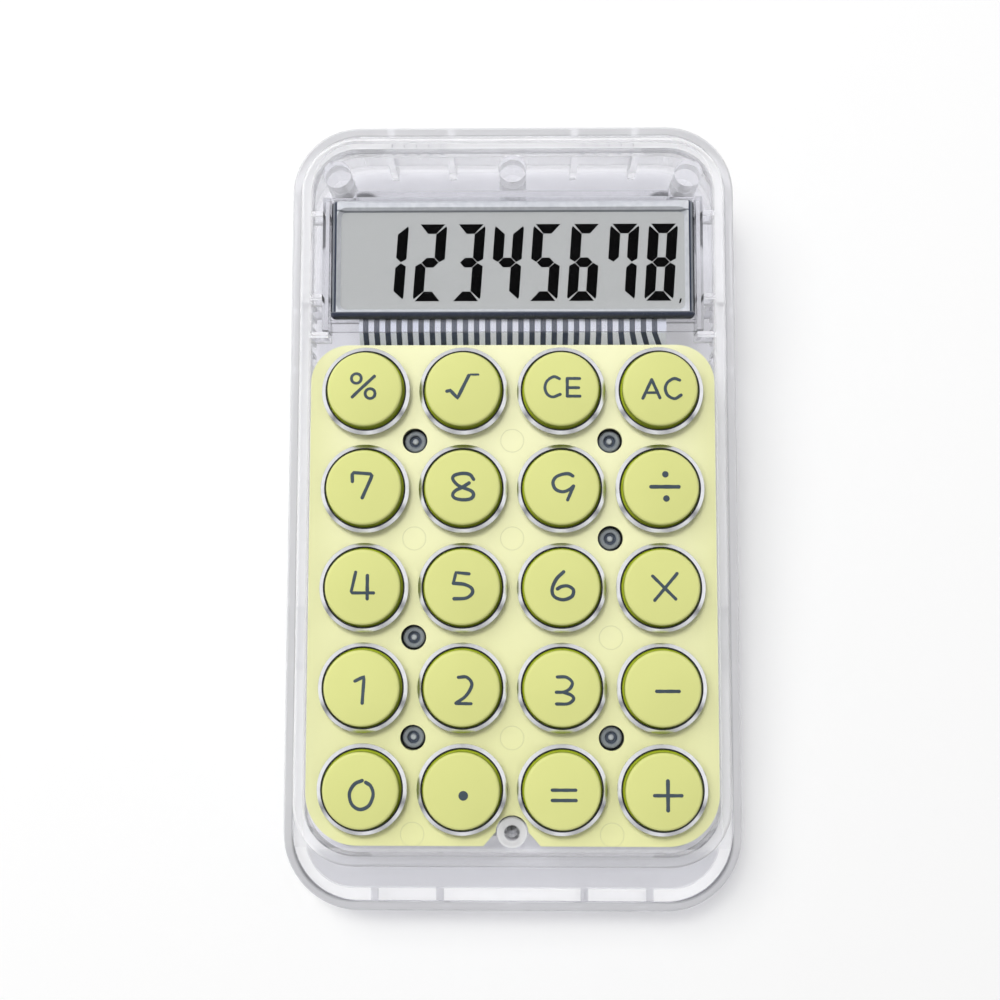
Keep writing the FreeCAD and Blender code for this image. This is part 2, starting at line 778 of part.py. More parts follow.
# Lower shell: a clear tray with a sloping floor, posts for the screws and a bay for the battery door
def make_lower_shell():
    body = new_body("lower_shell")
    deepest = depth_of_base(case_back)
    outline = sketch_at(body, "outer_outline", offset=-size("rim_depth"))
    case_outline(outline, ZERO, half_width, case_front, case_back)
    pad(body, outline, deepest, "block", down=True)
    cut = sketch_at(body, "underside_profile", role="YZ_Plane")
    underside(cut, deepest)
    level = pocket(body, cut, half_width * 4, "underside", symmetric=True)

    def on_underside(edge):
        points = [vertex.Point for vertex in edge.Vertexes]
        return all(abs(p.z + base_depth_number(p.y)) < NEAR for p in points)

    rounded = fillet(body, level, on_underside, size("bottom_round"), "bottom_edge")
    top_faces = [
        "Face%d" % (i + 1)
        for i, face in enumerate(rounded.Shape.Faces)
        if abs(face.BoundBox.ZMin + size("rim_depth").number) < NEAR
    ]
    shell = body.newObject("PartDesign::Thickness", "tray")
    shell.Base = (rounded, top_faces)
    shell.Value = wall.number
    shell.setExpression("Value", wall.formula)
    shell.Reversed = True
    shell.Join = 0
    doc.recompute()

    def on_rim(edge):
        box = edge.BoundBox
        across = max(-box.XMin, box.XMax) - half_width.number
        along = max(-box.YMin - case_front.number, box.YMax - case_back.number)
        return level_edge(-size("rim_depth"))(edge) and max(across, along) > -NEAR

    fillet(body, shell, on_rim, size("rim_round"), "rim_edge")

    posts = sketch_at(body, "post_outline", offset=-board_under)
    for x, y in SCREW_CENTRES:
        circle(posts, x, y, size("post_radius"))
    pad(body, posts, deepest, "screw_posts", down=True)
    posts = sketch_at(body, "front_post_outline", offset=-boss_end)
    circle(posts, ZERO, -boss_y, size("foot_post_radius"))
    pad(body, posts, deepest, "front_post", down=True)
    posts = sketch_at(body, "rear_post_outline", offset=-(size("lid_plate") + size("pin_length")))
    for x, y in PIN_CENTRES:
        circle(posts, x, y, size("pin_radius"))
    pad(body, posts, deepest, "rear_posts", down=True)
    half = size("clip_rib") / 2
    for number, (side, middle) in enumerate(CLIPS):
        ribs = sketch_at(body, "clip_rib_outline_%d" % number, offset=-skirt_under)
        for centre in (middle - size("clip_half"), middle + size("clip_half")):
            wall_rectangle(ribs, side, centre - half, centre + half, size("clip_rib_depth"), wall / 2)
        pad(body, ribs, deepest, "clip_ribs_%d" % number, down=True)
    trim = sketch_at(body, "trim_profile", role="YZ_Plane")
    underside(trim, deepest * 2)
    pocket(body, trim, half_width * 4, "trim", symmetric=True)

    room = size("catch_clearance")
    slots = sketch_at(body, "catch_slot_outline", offset=-(skirt_under + size("catch_drop") - room))
    slot_half = hook_half + room
    slot_depth = size("catch_depth") - size("shell_clearance") + room
    for side, middle in CLIPS:
        wall_rectangle(slots, side, middle - slot_half, middle + slot_half, room, slot_depth)
    pocket(body, slots, size("catch_height") + room * 2, "catch_slots")

    frame = sketch_on_ground(body, "door_frame_outline", size("foot_height") + wall / 2)
    door_outline(frame, size("door_lip"))
    pad(body, frame, size("door_frame_height") - wall / 2, "door_frame")
    recess = sketch_on_ground(body, "door_recess_outline", size("foot_height") + size("door_thickness"))
    door_outline(recess, size("door_clearance"))
    pocket(body, recess, size("door_thickness") * 2, "door_recess")
    mouth = sketch_on_ground(body, "door_mouth_outline", size("foot_height") + size("door_frame_height"))
    door_outline(mouth, -size("door_lip"))
    pocket(body, mouth, size("door_frame_height"), "door_mouth")

    pilots = sketch_at(body, "pilot_outline", offset=-board_under)
    for x, y in SCREW_CENTRES:
        circle(pilots, x, y, pilot_radius)
    pocket(body, pilots, size("screw_bite") + size("hole_clearance"), "screw_pilots")
    bore = sketch_at(body, "front_bore_outline", offset=-boss_end)
    circle(bore, ZERO, -boss_y, size("screw_shank_radius") + size("hole_clearance"))
    pocket(body, bore, deepest, "front_bore")
    bore = sketch_at(body, "front_well_outline", offset=-(boss_end + size("boss_seat")))
    circle(bore, ZERO, -boss_y, head_well)
    pocket(body, bore, deepest, "front_well")

    feet = sketch_on_ground(body, "foot_recess_outline", size("foot_height") + size("foot_recess"))
    for x, y in foot_centres():
        circle(feet, x, y, size("foot_radius") + size("door_clearance"))
    pocket(body, feet, size("foot_recess") * 2, "foot_recesses")
    set_in_key_frame(body)
    return body


def base_depth_number(y):
    return base_front.number + (y + case_front.number) * tan(tilt).number


def underside(sketch, depth):
    """Side view of the space under the flat base, in front of and behind the case."""
    front = -(case_front * 2)
    back = case_back * 2
    points = [
        (front, -depth_of_base(front)),
        (front, -(depth_of_base(back) + depth)),
        (back, -(depth_of_base(back) + depth)),
        (back, -depth_of_base(back)),
    ]
    polygon(sketch, points)


def ground_y(y):
    """Y on the ground under a point of the flat base that lies at y in the key frame."""
    return y * cos(tilt) + depth_of_base(y) * sin(tilt) + shift_y


door_half_y = size("cell_radius") + size("door_margin_y")


def door_outline(sketch, margin):
    centre = ground_y(size("cell_y"))
    half_x = size("cell_radius") + size("door_margin_x") + margin
    half_y = door_half_y + margin
    corner = size("door_corner") + margin
    rounded_rectangle(sketch, -half_x, half_x, centre - half_y, centre + half_y, corner, corner)


def foot_centres():
    x = half_width - size("foot_side_inset")
    y = (front_reach + rear_reach) / 2 - size("foot_end_inset")
    return [(x * across, y * along) for across in (-1, 1) for along in (-1, 1)]


# Key panel: the coloured plate under the clear top, with a hole for each key, stiffening ribs between
# the keys, a well for each screw and a notch round the front boss
def make_key_panel():
    body = new_body("key_panel")
    outline = sketch_at(body, "plate_outline", offset=-panel_under)
    rounded_rectangle(
        outline,
        -panel_x,
        panel_x,
        -panel_front,
        panel_back,
        size("panel_corner_front"),
        size("panel_corner_back"),
    )
    pad(body, outline, size("panel_thickness"), "plate")

    ribs = sketch_at(body, "long_rib_outline", offset=-panel_under)
    half = size("panel_rib_width") / 2
    long_reach = key_y(0) + size("panel_rib_reach")
    for column in range(COLUMN_COUNT - 1):
        x = (key_x(column) + key_x(column + 1)) / 2
        rectangle(ribs, x - half, x + half, -long_reach, long_reach)
    pad(body, ribs, size("panel_rib_height"), "long_ribs", down=True)
    ribs = sketch_at(body, "cross_rib_outline", offset=-panel_under)
    cross_reach = key_x(COLUMN_COUNT - 1) + size("panel_rib_reach")
    for row in range(ROW_COUNT - 1):
        y = (key_y(row) + key_y(row + 1)) / 2
        rectangle(ribs, -cross_reach, cross_reach, y - half, y + half)
    pad(body, ribs, size("panel_rib_height"), "cross_ribs", down=True)

    bosses = sketch_at(body, "boss_outline", offset=-panel_under)
    for x, y in SCREW_CENTRES:
        circle(bosses, x, y, panel_boss_radius)
    pad(body, bosses, board_top - panel_under, "screw_bosses", down=True)
    wells = sketch_at(body, "well_outline", offset=-panel_top)
    for x, y in SCREW_CENTRES:
        circle(wells, x, y, head_well)
    pocket(body, wells, size("screw_seat_depth"), "screw_wells")
    holes = sketch_at(body, "screw_hole_outline", offset=-panel_top)
    for x, y in SCREW_CENTRES:
        circle(holes, x, y, size("screw_shank_radius") + size("hole_clearance"))
    pocket(body, holes, board_top, "screw_holes")

    bore = sketch_at(body, "key_hole_outline", offset=-panel_top)
    circle(bore, *FIRST_KEY, hole_radius)
    hole = pocket(body, bore, size("panel_thickness"), "key_hole")
    key_pattern(body, [hole], "key_holes")
    boss_notch(body, panel_top, size("panel_thickness"), notch_throat + size("notch_flare"), panel_front)
    set_in_key_frame(body)
    return body


def boss_notch(body, top, thickness, mouth, front):
    """Cuts a notch in from the front edge, round at its inner end, to pass the front boss."""
    notch = sketch_at(body, "notch_outline", offset=-top)
    points = [(-mouth, -front), (mouth, -front), (notch_throat, -boss_y), (-notch_throat, -boss_y)]
    polygon(notch, points)
    pocket(body, notch, thickness, "notch")
    notch = sketch_at(body, "notch_end_outline", offset=-top)
    circle(notch, ZERO, -boss_y, notch_throat)
    pocket(body, notch, thickness, "notch_end")


# Rubber mat: a thin sheet on the board with a hollow dome under each key
def make_rubber_keypad():
    body = new_body("rubber_keypad")
    mat_front = board_front - size("mat_inset")
    mat_back = board_back - size("mat_back_inset")
    mat_x = board_x - size("mat_inset")
    outline = sketch_at(body, "sheet_outline", offset=-board_top)
    corner = size("panel_corner_back")
    rounded_rectangle(outline, -mat_x, mat_x, -mat_front, mat_back, corner, corner)
    pad(body, outline, size("mat_thickness"), "sheet")

    dome = sketch_at(body, "dome_foot", offset=-mat_top)
    circle(dome, *FIRST_KEY, size("dome_base_radius"))
    crown = sketch_at(body, "dome_crown", offset=-dome_top)
    circle(crown, *FIRST_KEY, size("dome_top_radius"))
    raised = body.newObject("PartDesign::AdditiveLoft", "dome")
    raised.Profile = dome
    raised.Sections = [crown]
    raised.Ruled = True
    doc.recompute()
    inside = sketch_at(body, "dome_cavity_foot", offset=-board_top)
    circle(inside, *FIRST_KEY, size("dome_base_radius") - size("dome_foot_wall"))
    roof = sketch_at(body, "dome_cavity_roof", offset=-(dome_top + size("dome_skin")))
    circle(roof, *FIRST_KEY, size("dome_top_radius") - size("dome_skin"))
    hollow = body.newObject("PartDesign::SubtractiveLoft", "dome_cavity")
    hollow.Profile = inside
    hollow.Sections = [roof]
    hollow.Ruled = True
    doc.recompute()
    key_pattern(body, [raised, hollow], "domes")

    holes = sketch_at(body, "boss_hole_outline", offset=-mat_top)
    for x, y in SCREW_CENTRES:
        circle(holes, x, y, panel_boss_radius + size("hole_clearance"))
    pocket(body, holes, size("mat_thickness"), "boss_holes")
    boss_notch(body, mat_top, size("mat_thickness"), notch_throat, mat_front)
    set_in_key_frame(body)
    return body


# Circuit board: carries the mat above and the battery clip and the chip below
def make_circuit_board():
    body = new_body("circuit_board")
    outline = sketch_at(body, "board_outline", offset=-board_under)
    corner = size("panel_corner_back")
    rounded_rectangle(outline, -board_x, board_x, -board_front, board_back, corner, corner)
    pad(body, outline, size("board_thickness"), "board")
    holes = sketch_at(body, "screw_hole_outline", offset=-board_top)
    for x, y in SCREW_CENTRES:
        circle(holes, x, y, size("screw_shank_radius") + size("hole_clearance"))
    pocket(body, holes, size("board_thickness"), "screw_holes")
    boss_notch(body, board_top, size("board_thickness"), notch_throat, board_front)
    set_in_key_frame(body)
    return body


# Panel screws: six pan heads that clamp the panel, mat and board to the lower shell's posts
def make_panel_screws():
    body = new_body("panel_screws")
    body.AllowCompound = True
    seat = panel_top + size("screw_seat_depth")
    heads = sketch_at(body, "head_outline", offset=-seat)
    for x, y in SCREW_CENTRES:
        circle(heads, x, y, size("screw_head_radius"))
    pad(body, heads, size("screw_head_height"), "heads")
    shanks = sketch_at(body, "shank_outline", offset=-seat)
    for x, y in SCREW_CENTRES:
        circle(shanks, x, y, size("screw_shank_radius"))
    pad(body, shanks, board_under + size("screw_bite") - seat, "shanks", down=True)
    set_in_key_frame(body)
    return body


# Case screw: driven from below through the front post into the clear boss of the upper shell
def make_case_screw():
    body = new_body("case_screw")
    seat = -(boss_end + size("boss_seat"))
    tip = -(size("lid_plate") + size("boss_roof") + size("boss_tip_gap"))
    cone_foot = tip - size("screw_shank_radius") * 2
    profile = sketch_at(body, "half_section", role="XZ_Plane")
    points = [
        (ZERO, seat - size("screw_head_height")),
        (size("screw_head_radius"), seat - size("screw_head_height")),
        (size("screw_head_radius"), seat),
        (size("screw_shank_radius"), seat),
        (size("screw_shank_radius"), cone_foot),
        (ZERO, tip),
    ]
    polygon(profile, points)
    revolve(body, profile, "screw")
    set_at_key_point(body, ZERO, -boss_y)
    return body


def set_at_key_point(body, x, y):
    """Places a body whose own origin stands at x, y on the top face of the key frame."""
    at_y = y * cos(tilt) + shift_y
    at_z = y * sin(tilt) + shift_z
    body.Placement = FreeCAD.Placement(
        FreeCAD.Vector(x.number, at_y.number, at_z.number), FreeCAD.Rotation(X_AXIS, tilt.number)
    )
    body.setExpression("Placement.Base.x", x.formula)
    body.setExpression("Placement.Base.y", at_y.formula)
    body.setExpression("Placement.Base.z", at_z.formula)
    body.setExpression("Placement.Rotation.Angle", tilt.formula)


# Display: a bevelled frame, the glass, a clear holder and the ribbon to the board
def display_rectangle(sketch, half_x, half_y, corner):
    rounded_rectangle(sketch, -half_x, half_x, display_y - half_y, display_y + half_y, corner, corner)


def make_display_frame():
    body = new_body("display_frame")
    outline = sketch_at(body, "frame_outline", offset=-frame_under)
    display_rectangle(outline, frame_x, frame_y, size("frame_corner"))
    pad(body, outline, size("frame_thickness"), "frame")
    bevel = size("frame_bevel")
    wide = sketch_at(body, "bevel_top", offset=-frame_top)
    display_rectangle(wide, window_x + bevel, window_y + bevel, size("window_corner") + bevel)
    narrow = sketch_at(body, "bevel_foot", offset=-frame_under)
    display_rectangle(narrow, window_x, window_y, size("window_corner"))
    window = body.newObject("PartDesign::SubtractiveLoft", "window")
    window.Profile = wide
    window.Sections = [narrow]
    window.Ruled = True
    doc.recompute()

    def outside(edge):
        box = edge.BoundBox
        across = max(-box.XMin, box.XMax) - frame_x.number
        along = max(display_y.number - box.YMin, box.YMax - display_y.number) - frame_y.number
        return level_edge(-frame_top)(edge) and max(across, along) > -NEAR

    chamfer(body, window, outside, size("frame_edge"), "frame_edge")
    set_in_key_frame(body)
    return body


def make_display_glass():
    body = new_body("display_glass")
    outline = sketch_at(body, "glass_outline", offset=-glass_under)
    inset = size("glass_inset")
    display_rectangle(outline, frame_x - inset, frame_y - inset, size("frame_corner"))
    pad(body, outline, size("glass_thickness"), "glass")
    set_in_key_frame(body)
    return body


def make_display_holder():
    body = new_body("display_holder")
    back = holder_back
    plate = sketch_at(body, "floor_outline", offset=-holder_under)
    rectangle(plate, -holder_x, holder_x, lip_back, back + size("holder_wall"))
    pad(body, plate, size("holder_floor"), "floor")
    height = holder_under - size("lid_plate")
    ends = sketch_at(body, "end_wall_outline", offset=-holder_under)
    rectangle(ends, holder_inner_x, holder_x, lip_front, back)
    rectangle(ends, -holder_x, -holder_inner_x, lip_front, back)
    pad(body, ends, height, "end_walls")
    rear = sketch_at(body, "rear_wall_outline", offset=-holder_under)
    half = holder_x - size("holder_back_inset")
    rectangle(rear, -half, half, back, back + size("holder_wall"))
    pad(body, rear, height, "rear_wall")
    lip = sketch_at(body, "lip_outline", offset=-frame_under)
    rectangle(lip, -holder_x, holder_x, lip_front, lip_back)
    pad(body, lip, size("holder_lip_thickness"), "front_lip")
    set_in_key_frame(body)
    return body


def make_display_ribbon():
    body = new_body("display_ribbon")
    sheet_size = size("ribbon_thickness")
    start = display_y - frame_y + size("glass_inset")
    level = frame_under + sheet_size
    fold = lip_front
    landing = board_back
    end = landing - size("ribbon_landing")
    profile = sketch_at(body, "side_profile", role="YZ_Plane")
    points = [
        (start, -level),
        (fold, -level),
        (landing, -(board_top - sheet_size)),
        (end, -(board_top - sheet_size)),
        (end, -board_top),
        (landing - sheet_size / 2, -board_top),
        (fold - sheet_size / 2, -(level + sheet_size)),
        (start, -(level + sheet_size)),
    ]
    polygon(profile, points)
    half = frame_x - size("ribbon_inset")
    pad(body, profile, half * 2, "ribbon", symmetric=True)
    set_in_key_frame(body)
    return body


# Battery: a coin cell in a sheet-metal clip under the board, reached through a door in the underside
def make_coin_cell():
    body = new_body("coin_cell")
    cell_top = board_under + size("cell_gap")
    disc = sketch_at(body, "cell_outline", offset=-(cell_top + size("cell_thickness")))
    circle(disc, ZERO, size("cell_y"), size("cell_radius"))
    pad(body, disc, size("cell_thickness"), "cell")
    set_in_key_frame(body)
    return body


def make_battery_clip():
    body = new_body("battery_clip")
    metal = size("clip_sheet")
    strap_top = board_under + size("cell_gap") + size("cell_thickness")
    inner = size("cell_radius") + size("clip_side_gap")
    outer = inner + metal
    toe = outer + size("clip_pad_length")
    strap_start = size("cell_y") + size("clip_width") / 2
    profile = sketch_at(body, "strap_profile", role="XZ_Plane", offset=-strap_start)
    points = [
        (-toe, -board_under),
        (-toe, -(board_under + metal)),
        (-outer, -(board_under + metal)),
        (-outer, -(strap_top + metal)),
        (outer, -(strap_top + metal)),
        (outer, -(board_under + metal)),
        (toe, -(board_under + metal)),
        (toe, -board_under),
        (inner, -board_under),
        (inner, -strap_top),
        (-inner, -strap_top),
        (-inner, -board_under),
    ]
    polygon(profile, points)
    pad(body, profile, size("clip_width"), "strap")
    set_in_key_frame(body)
    return body


def make_battery_door():
    body = new_body("battery_door")
    plate = sketch_at(body, "door_outline", offset=size("foot_height"))
    door_outline(plate, ZERO)
    pad(body, plate, size("door_thickness"), "plate")
    centre = ground_y(size("cell_y"))
    mouth_half = door_half_y - size("door_lip") - size("door_clearance")
    plate_top = size("foot_height") + size("door_thickness")
    tongue_under = size("foot_height") + size("door_frame_height") + size("door_clearance")
    tongue_top = tongue_under + size("door_tongue_thickness")
    reach = mouth_half + size("door_clearance") + size("door_tongue_length")
    inner = mouth_half - size("door_leg")
    legs = sketch_at(body, "leg_profile", role="YZ_Plane")
    for side in (-1, 1):
        points = [
            (centre + inner * side, plate_top),
            (centre + mouth_half * side, plate_top),
            (centre + mouth_half * side, tongue_under),
            (centre + reach * side, tongue_under),
            (centre + reach * side, tongue_top),
            (centre + inner * side, tongue_top),
        ]
        polygon(legs, points)
    pad(body, legs, size("door_tongue_width"), "tongues", symmetric=True)
    return body


# Chip: a low round cap of resin under the board, with the shares of its radius and height at which
# its outline bends
CAP_SHOULDERS = [(0.4, 0.9), (0.8, 0.6)]


def make_chip_cap():
    body = new_body("chip_cap")
    radius = size("chip_radius")
    rise = size("chip_height")
    profile = sketch_at(body, "half_section", role="XZ_Plane")
    points = [(ZERO, -board_under), (ZERO, -(board_under + rise))]
    for across, up in CAP_SHOULDERS:
        points.append((radius * across, -(board_under + rise * up)))
    points.append((radius, -board_under))
    polygon(profile, points)
    revolve(body, profile, "cap")
    set_at_key_point(body, ZERO, size("chip_y"))
    return body


# Rubber feet: four round pads in shallow recesses of the underside
def make_rubber_feet():
    body = new_body("rubber_feet")
    body.AllowCompound = True
    discs = sketch_at(body, "foot_outline")
    for x, y in foot_centres():
        circle(discs, x, y, size("foot_radius"))
    feet = pad(body, discs, size("foot_height") + size("foot_recess"), "feet")
    chamfer(body, feet, level_edge(ZERO), size("foot_bevel"), "foot_edges")
    return body


# Keys: a round hollow cap with a domed top and a stem, and a square flange below the panel that stops
# it turning
def make_key(label, x, y):
    body = new_body(label)
    radius = size("key_radius")
    top = size("key_rise")
    inner = radius - size("key_side_wall")
    roof = top - size("key_top_wall")
    stem = size("key_stem_radius")
    shoulder = top - size("key_dome")
    profile = sketch_at(body, "half_section", role="XZ_Plane")
    points = [
        (ZERO, top),
        (ZERO, -flange_under),
        (stem, -flange_under),
        (stem, roof),
        (inner, roof),
        (inner, -flange_under),
        (radius, -flange_under),
        (radius, shoulder),
    ]
    crowned_section(profile, points)
    cap = revolve(body, profile, "cap")
    fillet(body, cap, level_edge(shoulder), size("key_edge_round"), "top_edge")
    beside = size("panel_rib_width") / 2 + size("key_flange_gap")
    half_x = size("key_pitch_x") / 2 - beside
    half_y = size("key_pitch_y") / 2 - beside
    corner = size("key_flange_corner")
    flange = sketch_at(body, "flange_outline", offset=-flange_under)
    rounded_rectangle(flange, -half_x, half_x, -half_y, half_y, corner, corner)
    circle(flange, ZERO, ZERO, inner)
    pad(body, flange, size("key_flange_thickness"), "flange")
    set_at_key_point(body, x, y)
    return body


make_upper_shell()
make_key_rings()
make_lower_shell()
make_key_panel()
make_rubber_keypad()
make_circuit_board()
make_panel_screws()
make_case_screw()
make_display_frame()
make_display_glass()
make_display_holder()
make_display_ribbon()
make_coin_cell()
make_battery_clip()
make_battery_door()
make_chip_cap()
make_rubber_feet()
for row, labels in enumerate(KEY_ROWS):
    for column, label in enumerate(labels):
        make_key(label, key_x(column), key_y(row))
doc.recompute()

BODIES = [thing for thing in doc.Objects if thing.TypeId == "PartDesign::Body"]
for thing in doc.Objects:
    if "Invalid" in thing.State or "Error" in thing.State:
        raise ValueError("failed: %s %s" % (thing.Name, thing.State))
for body in BODIES:
    if body.Shape.isNull() or not body.Shape.isValid() or not body.Shape.Solids:
        raise ValueError("no valid solid: " + body.Label)

os.makedirs("parts", exist_ok=True)
for body in BODIES:
    body.Shape.exportStep("parts/%s.step" % body.Label)
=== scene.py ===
import math

import bmesh
import bpy
from mathutils import Matrix, Vector


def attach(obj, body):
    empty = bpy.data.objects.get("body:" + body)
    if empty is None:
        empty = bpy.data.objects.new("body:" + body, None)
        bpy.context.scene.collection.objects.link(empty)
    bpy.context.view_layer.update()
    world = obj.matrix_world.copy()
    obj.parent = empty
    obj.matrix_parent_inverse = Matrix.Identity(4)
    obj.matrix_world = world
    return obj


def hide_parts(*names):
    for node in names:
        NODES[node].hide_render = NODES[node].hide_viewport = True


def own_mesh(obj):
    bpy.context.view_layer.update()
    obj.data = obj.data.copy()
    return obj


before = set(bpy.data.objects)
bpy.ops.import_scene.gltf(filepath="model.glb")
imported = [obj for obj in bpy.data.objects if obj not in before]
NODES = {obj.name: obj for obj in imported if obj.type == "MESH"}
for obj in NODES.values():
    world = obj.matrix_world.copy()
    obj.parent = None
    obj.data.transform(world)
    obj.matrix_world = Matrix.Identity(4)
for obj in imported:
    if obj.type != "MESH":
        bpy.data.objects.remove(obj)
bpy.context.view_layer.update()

MM = 0.001

# The key frame of the calculator: X to the right, Y towards the display, Z out of the top face, in mm
TILT = math.radians(5.0)
SHIFT_Y = -16.8735
SHIFT_Z = 20.3504
TILTED = Matrix.Rotation(TILT, 4, "X")
KEY_FRAME = Matrix.Translation((0.0, SHIFT_Y * MM, SHIFT_Z * MM)) @ TILTED @ Matrix.Scale(MM, 4)
X_AXIS = (1.0, 0.0, 0.0)
Y_AXIS = (0.0, 1.0, 0.0)
Z_AXIS = (0.0, 0.0, 1.0)
ORIGIN = (0.0, 0.0, 0.0)

PITCH_X = 19.05
PITCH_Y = 19.15
MIDDLE_COLUMN = 1.5
MIDDLE_ROW = 2
KEY_TOP = 3.2
KEY_RADIUS = 7.25
KEY_DOME = 0.5
PANEL_TOP = -2.0
GLASS_TOP = -4.6
SCREW_SEAT = -4.8

KEY_ROWS = [
    ["key_percent", "key_root", "key_clear_entry", "key_all_clear"],
    ["key_seven", "key_eight", "key_nine", "key_divide"],
    ["key_four", "key_five", "key_six", "key_multiply"],
    ["key_one", "key_two", "key_three", "key_minus"],
    ["key_zero", "key_point", "key_equals", "key_plus"],
]
KEYS = [name for names in KEY_ROWS for name in names]


def key_centre(name):
    for row, names in enumerate(KEY_ROWS):
        if name in names:
            return (names.index(name) - MIDDLE_COLUMN) * PITCH_X, (MIDDLE_ROW - row) * PITCH_Y
    raise ValueError(name)


def at_key(name, height):
    """The frame of one key, at a height over the top face."""
    return KEY_FRAME @ Matrix.Translation((*key_centre(name), height))


def short_name(key):
    return key[len("key_"):]


# Materials

SRGB_KNEE = 0.04045
SRGB_SLOPE = 12.92
SRGB_OFFSET = 0.055
SRGB_POWER = 2.4
# Most of a noise's values lie between these two
NOISE_LOW = 0.3
NOISE_HIGH = 0.7
# The colour sockets of a mix node
MIX_FIRST = 6
MIX_SECOND = 7
MIX_RESULT = 2


def srgb(r, g, b):
    """A colour given in display values, 0 to 255, as linear RGBA."""
    def linear(value):
        share = value / 255.0
        if share <= SRGB_KNEE:
            return share / SRGB_SLOPE
        return ((share + SRGB_OFFSET) / (1.0 + SRGB_OFFSET)) ** SRGB_POWER
    return (linear(r), linear(g), linear(b), 1.0)


def grey(level):
    return (level, level, level, 1.0)


class Look:
    """A material's node tree, with short ways to add the nodes that the looks share."""

    def __init__(self, name):
        self.material = bpy.data.materials.new(name)
        self.material.use_nodes = True
        self.tree = self.material.node_tree
        self.shader = self.tree.nodes["Principled BSDF"]
        self.output = self.tree.nodes["Material Output"]
        self.coordinates = self.node("ShaderNodeTexCoord").outputs["Object"]

    def node(self, kind, **settings):
        made = self.tree.nodes.new(kind)
        for key, value in settings.items():
            setattr(made, key, value)
        return made

    def link(self, source, target):
        self.tree.links.new(source, target)

    def fill(self, socket, value):
        """Link a socket to another node, or set it to a fixed value."""
        if isinstance(value, bpy.types.NodeSocket):
            self.link(value, socket)
        else:
            socket.default_value = value

    def set(self, **values):
        """Fill sockets of the shader, by their names."""
        for key, value in values.items():
            self.fill(self.shader.inputs[key.replace("_", " ")], value)

    def worked(self, kind, operation, values):
        made = self.node(kind, operation=operation)
        for socket, value in zip(made.inputs, values):
            self.fill(socket, value)
        return made.outputs

    def number(self, operation, *values):
        """A number worked out from numbers."""
        return self.worked("ShaderNodeMath", operation, values)["Value"]

    def vector(self, operation, *values):
        """A vector worked out from vectors."""
        return self.worked("ShaderNodeVectorMath", operation, values)["Vector"]

    def measure(self, operation, *values):
        """A number worked out from vectors."""
        return self.worked("ShaderNodeVectorMath", operation, values)["Value"]

    def least(self, values):
        """The smallest of some numbers."""
        smallest = values[0]
        for value in values[1:]:
            smallest = self.number("MINIMUM", smallest, value)
        return smallest

    def span(self, source, low, high, source_low=0.0, source_high=1.0):
        """A number that goes from low to high as its source goes between two values."""
        span = self.node("ShaderNodeMapRange")
        span.inputs["From Min"].default_value = source_low
        span.inputs["From Max"].default_value = source_high
        span.inputs["To Min"].default_value = low
        span.inputs["To Max"].default_value = high
        self.link(source, span.inputs["Value"])
        return span.outputs["Result"]

    def step(self, source, low, high, start_mm, end_mm):
        """The same for a source that is a place or a distance, between two places in mm."""
        return self.span(source, low, high, start_mm * MM, end_mm * MM)

    def noise(self, scale, detail=3.0):
        texture = self.node("ShaderNodeTexNoise")
        texture.inputs["Scale"].default_value = scale
        texture.inputs["Detail"].default_value = detail
        self.link(self.coordinates, texture.inputs["Vector"])
        return texture.outputs["Fac"]

    def ramp(self, source, stops):
        ramp = self.node("ShaderNodeValToRGB")
        bands = ramp.color_ramp.elements
        while len(bands) < len(stops):
            bands.new(0.5)
        for band, (place, colour) in zip(bands, stops):
            band.position = place
            band.color = colour
        self.link(source, ramp.inputs["Fac"])
        return ramp.outputs["Color"]

    def mixed(self, share, colour, other):
        """One colour, and another where the share goes to 1."""
        mix = self.node("ShaderNodeMix", data_type="RGBA")
        self.link(share, mix.inputs["Factor"])
        self.fill(mix.inputs[MIX_FIRST], colour)
        self.fill(mix.inputs[MIX_SECOND], other)
        return mix.outputs[MIX_RESULT]

    def clouded(self, scale, dark, light):
        """A colour that drifts between two."""
        return self.ramp(self.noise(scale), [(NOISE_LOW, dark), (NOISE_HIGH, light)])

    def rough_noise(self, scale, low, high):
        """Roughness that drifts between two values."""
        self.set(Roughness=self.span(self.noise(scale), low, high, NOISE_LOW, NOISE_HIGH))

    def bump(self, source, distance_mm, strength, flat=False):
        """Fine relief, on the true faces of the mesh where flat faces have to stay flat."""
        bump = self.node("ShaderNodeBump")
        bump.inputs["Strength"].default_value = strength
        bump.inputs["Distance"].default_value = distance_mm * MM
        self.link(source, bump.inputs["Height"])
        if flat:
            self.link(self.node("ShaderNodeNewGeometry").outputs["True Normal"], bump.inputs["Normal"])
        self.set(Normal=bump.outputs["Normal"])

    def along(self, axis):
        """Place along an axis of the key frame, in metres."""
        level = KEY_FRAME.to_3x3() @ Vector(axis) / MM
        reach = self.measure("DOT_PRODUCT", self.coordinates, level)
        return self.number("SUBTRACT", reach, level.dot(KEY_FRAME.translation))

    def height(self):
        """Height over the top face of the case, in metres."""
        return self.along(Z_AXIS)

    def across(self):
        """Distance from the middle plane of the case, in metres."""
        return self.number("ABSOLUTE", self.along(X_AXIS))

    def off(self, source, place_mm):
        """How far a place or a distance lies from a fixed one, in metres, on either side of it."""
        return self.number("ABSOLUTE", self.number("SUBTRACT", source, place_mm * MM))

    def flat_place(self, x, y):
        place = self.node("ShaderNodeCombineXYZ")
        self.link(x, place.inputs["X"])
        self.link(y, place.inputs["Y"])
        return place.outputs["Vector"]

    def nearest(self, centres):
        """Distance to the nearest of some points, in metres."""
        return self.least([self.measure("DISTANCE", self.coordinates, centre) for centre in centres])

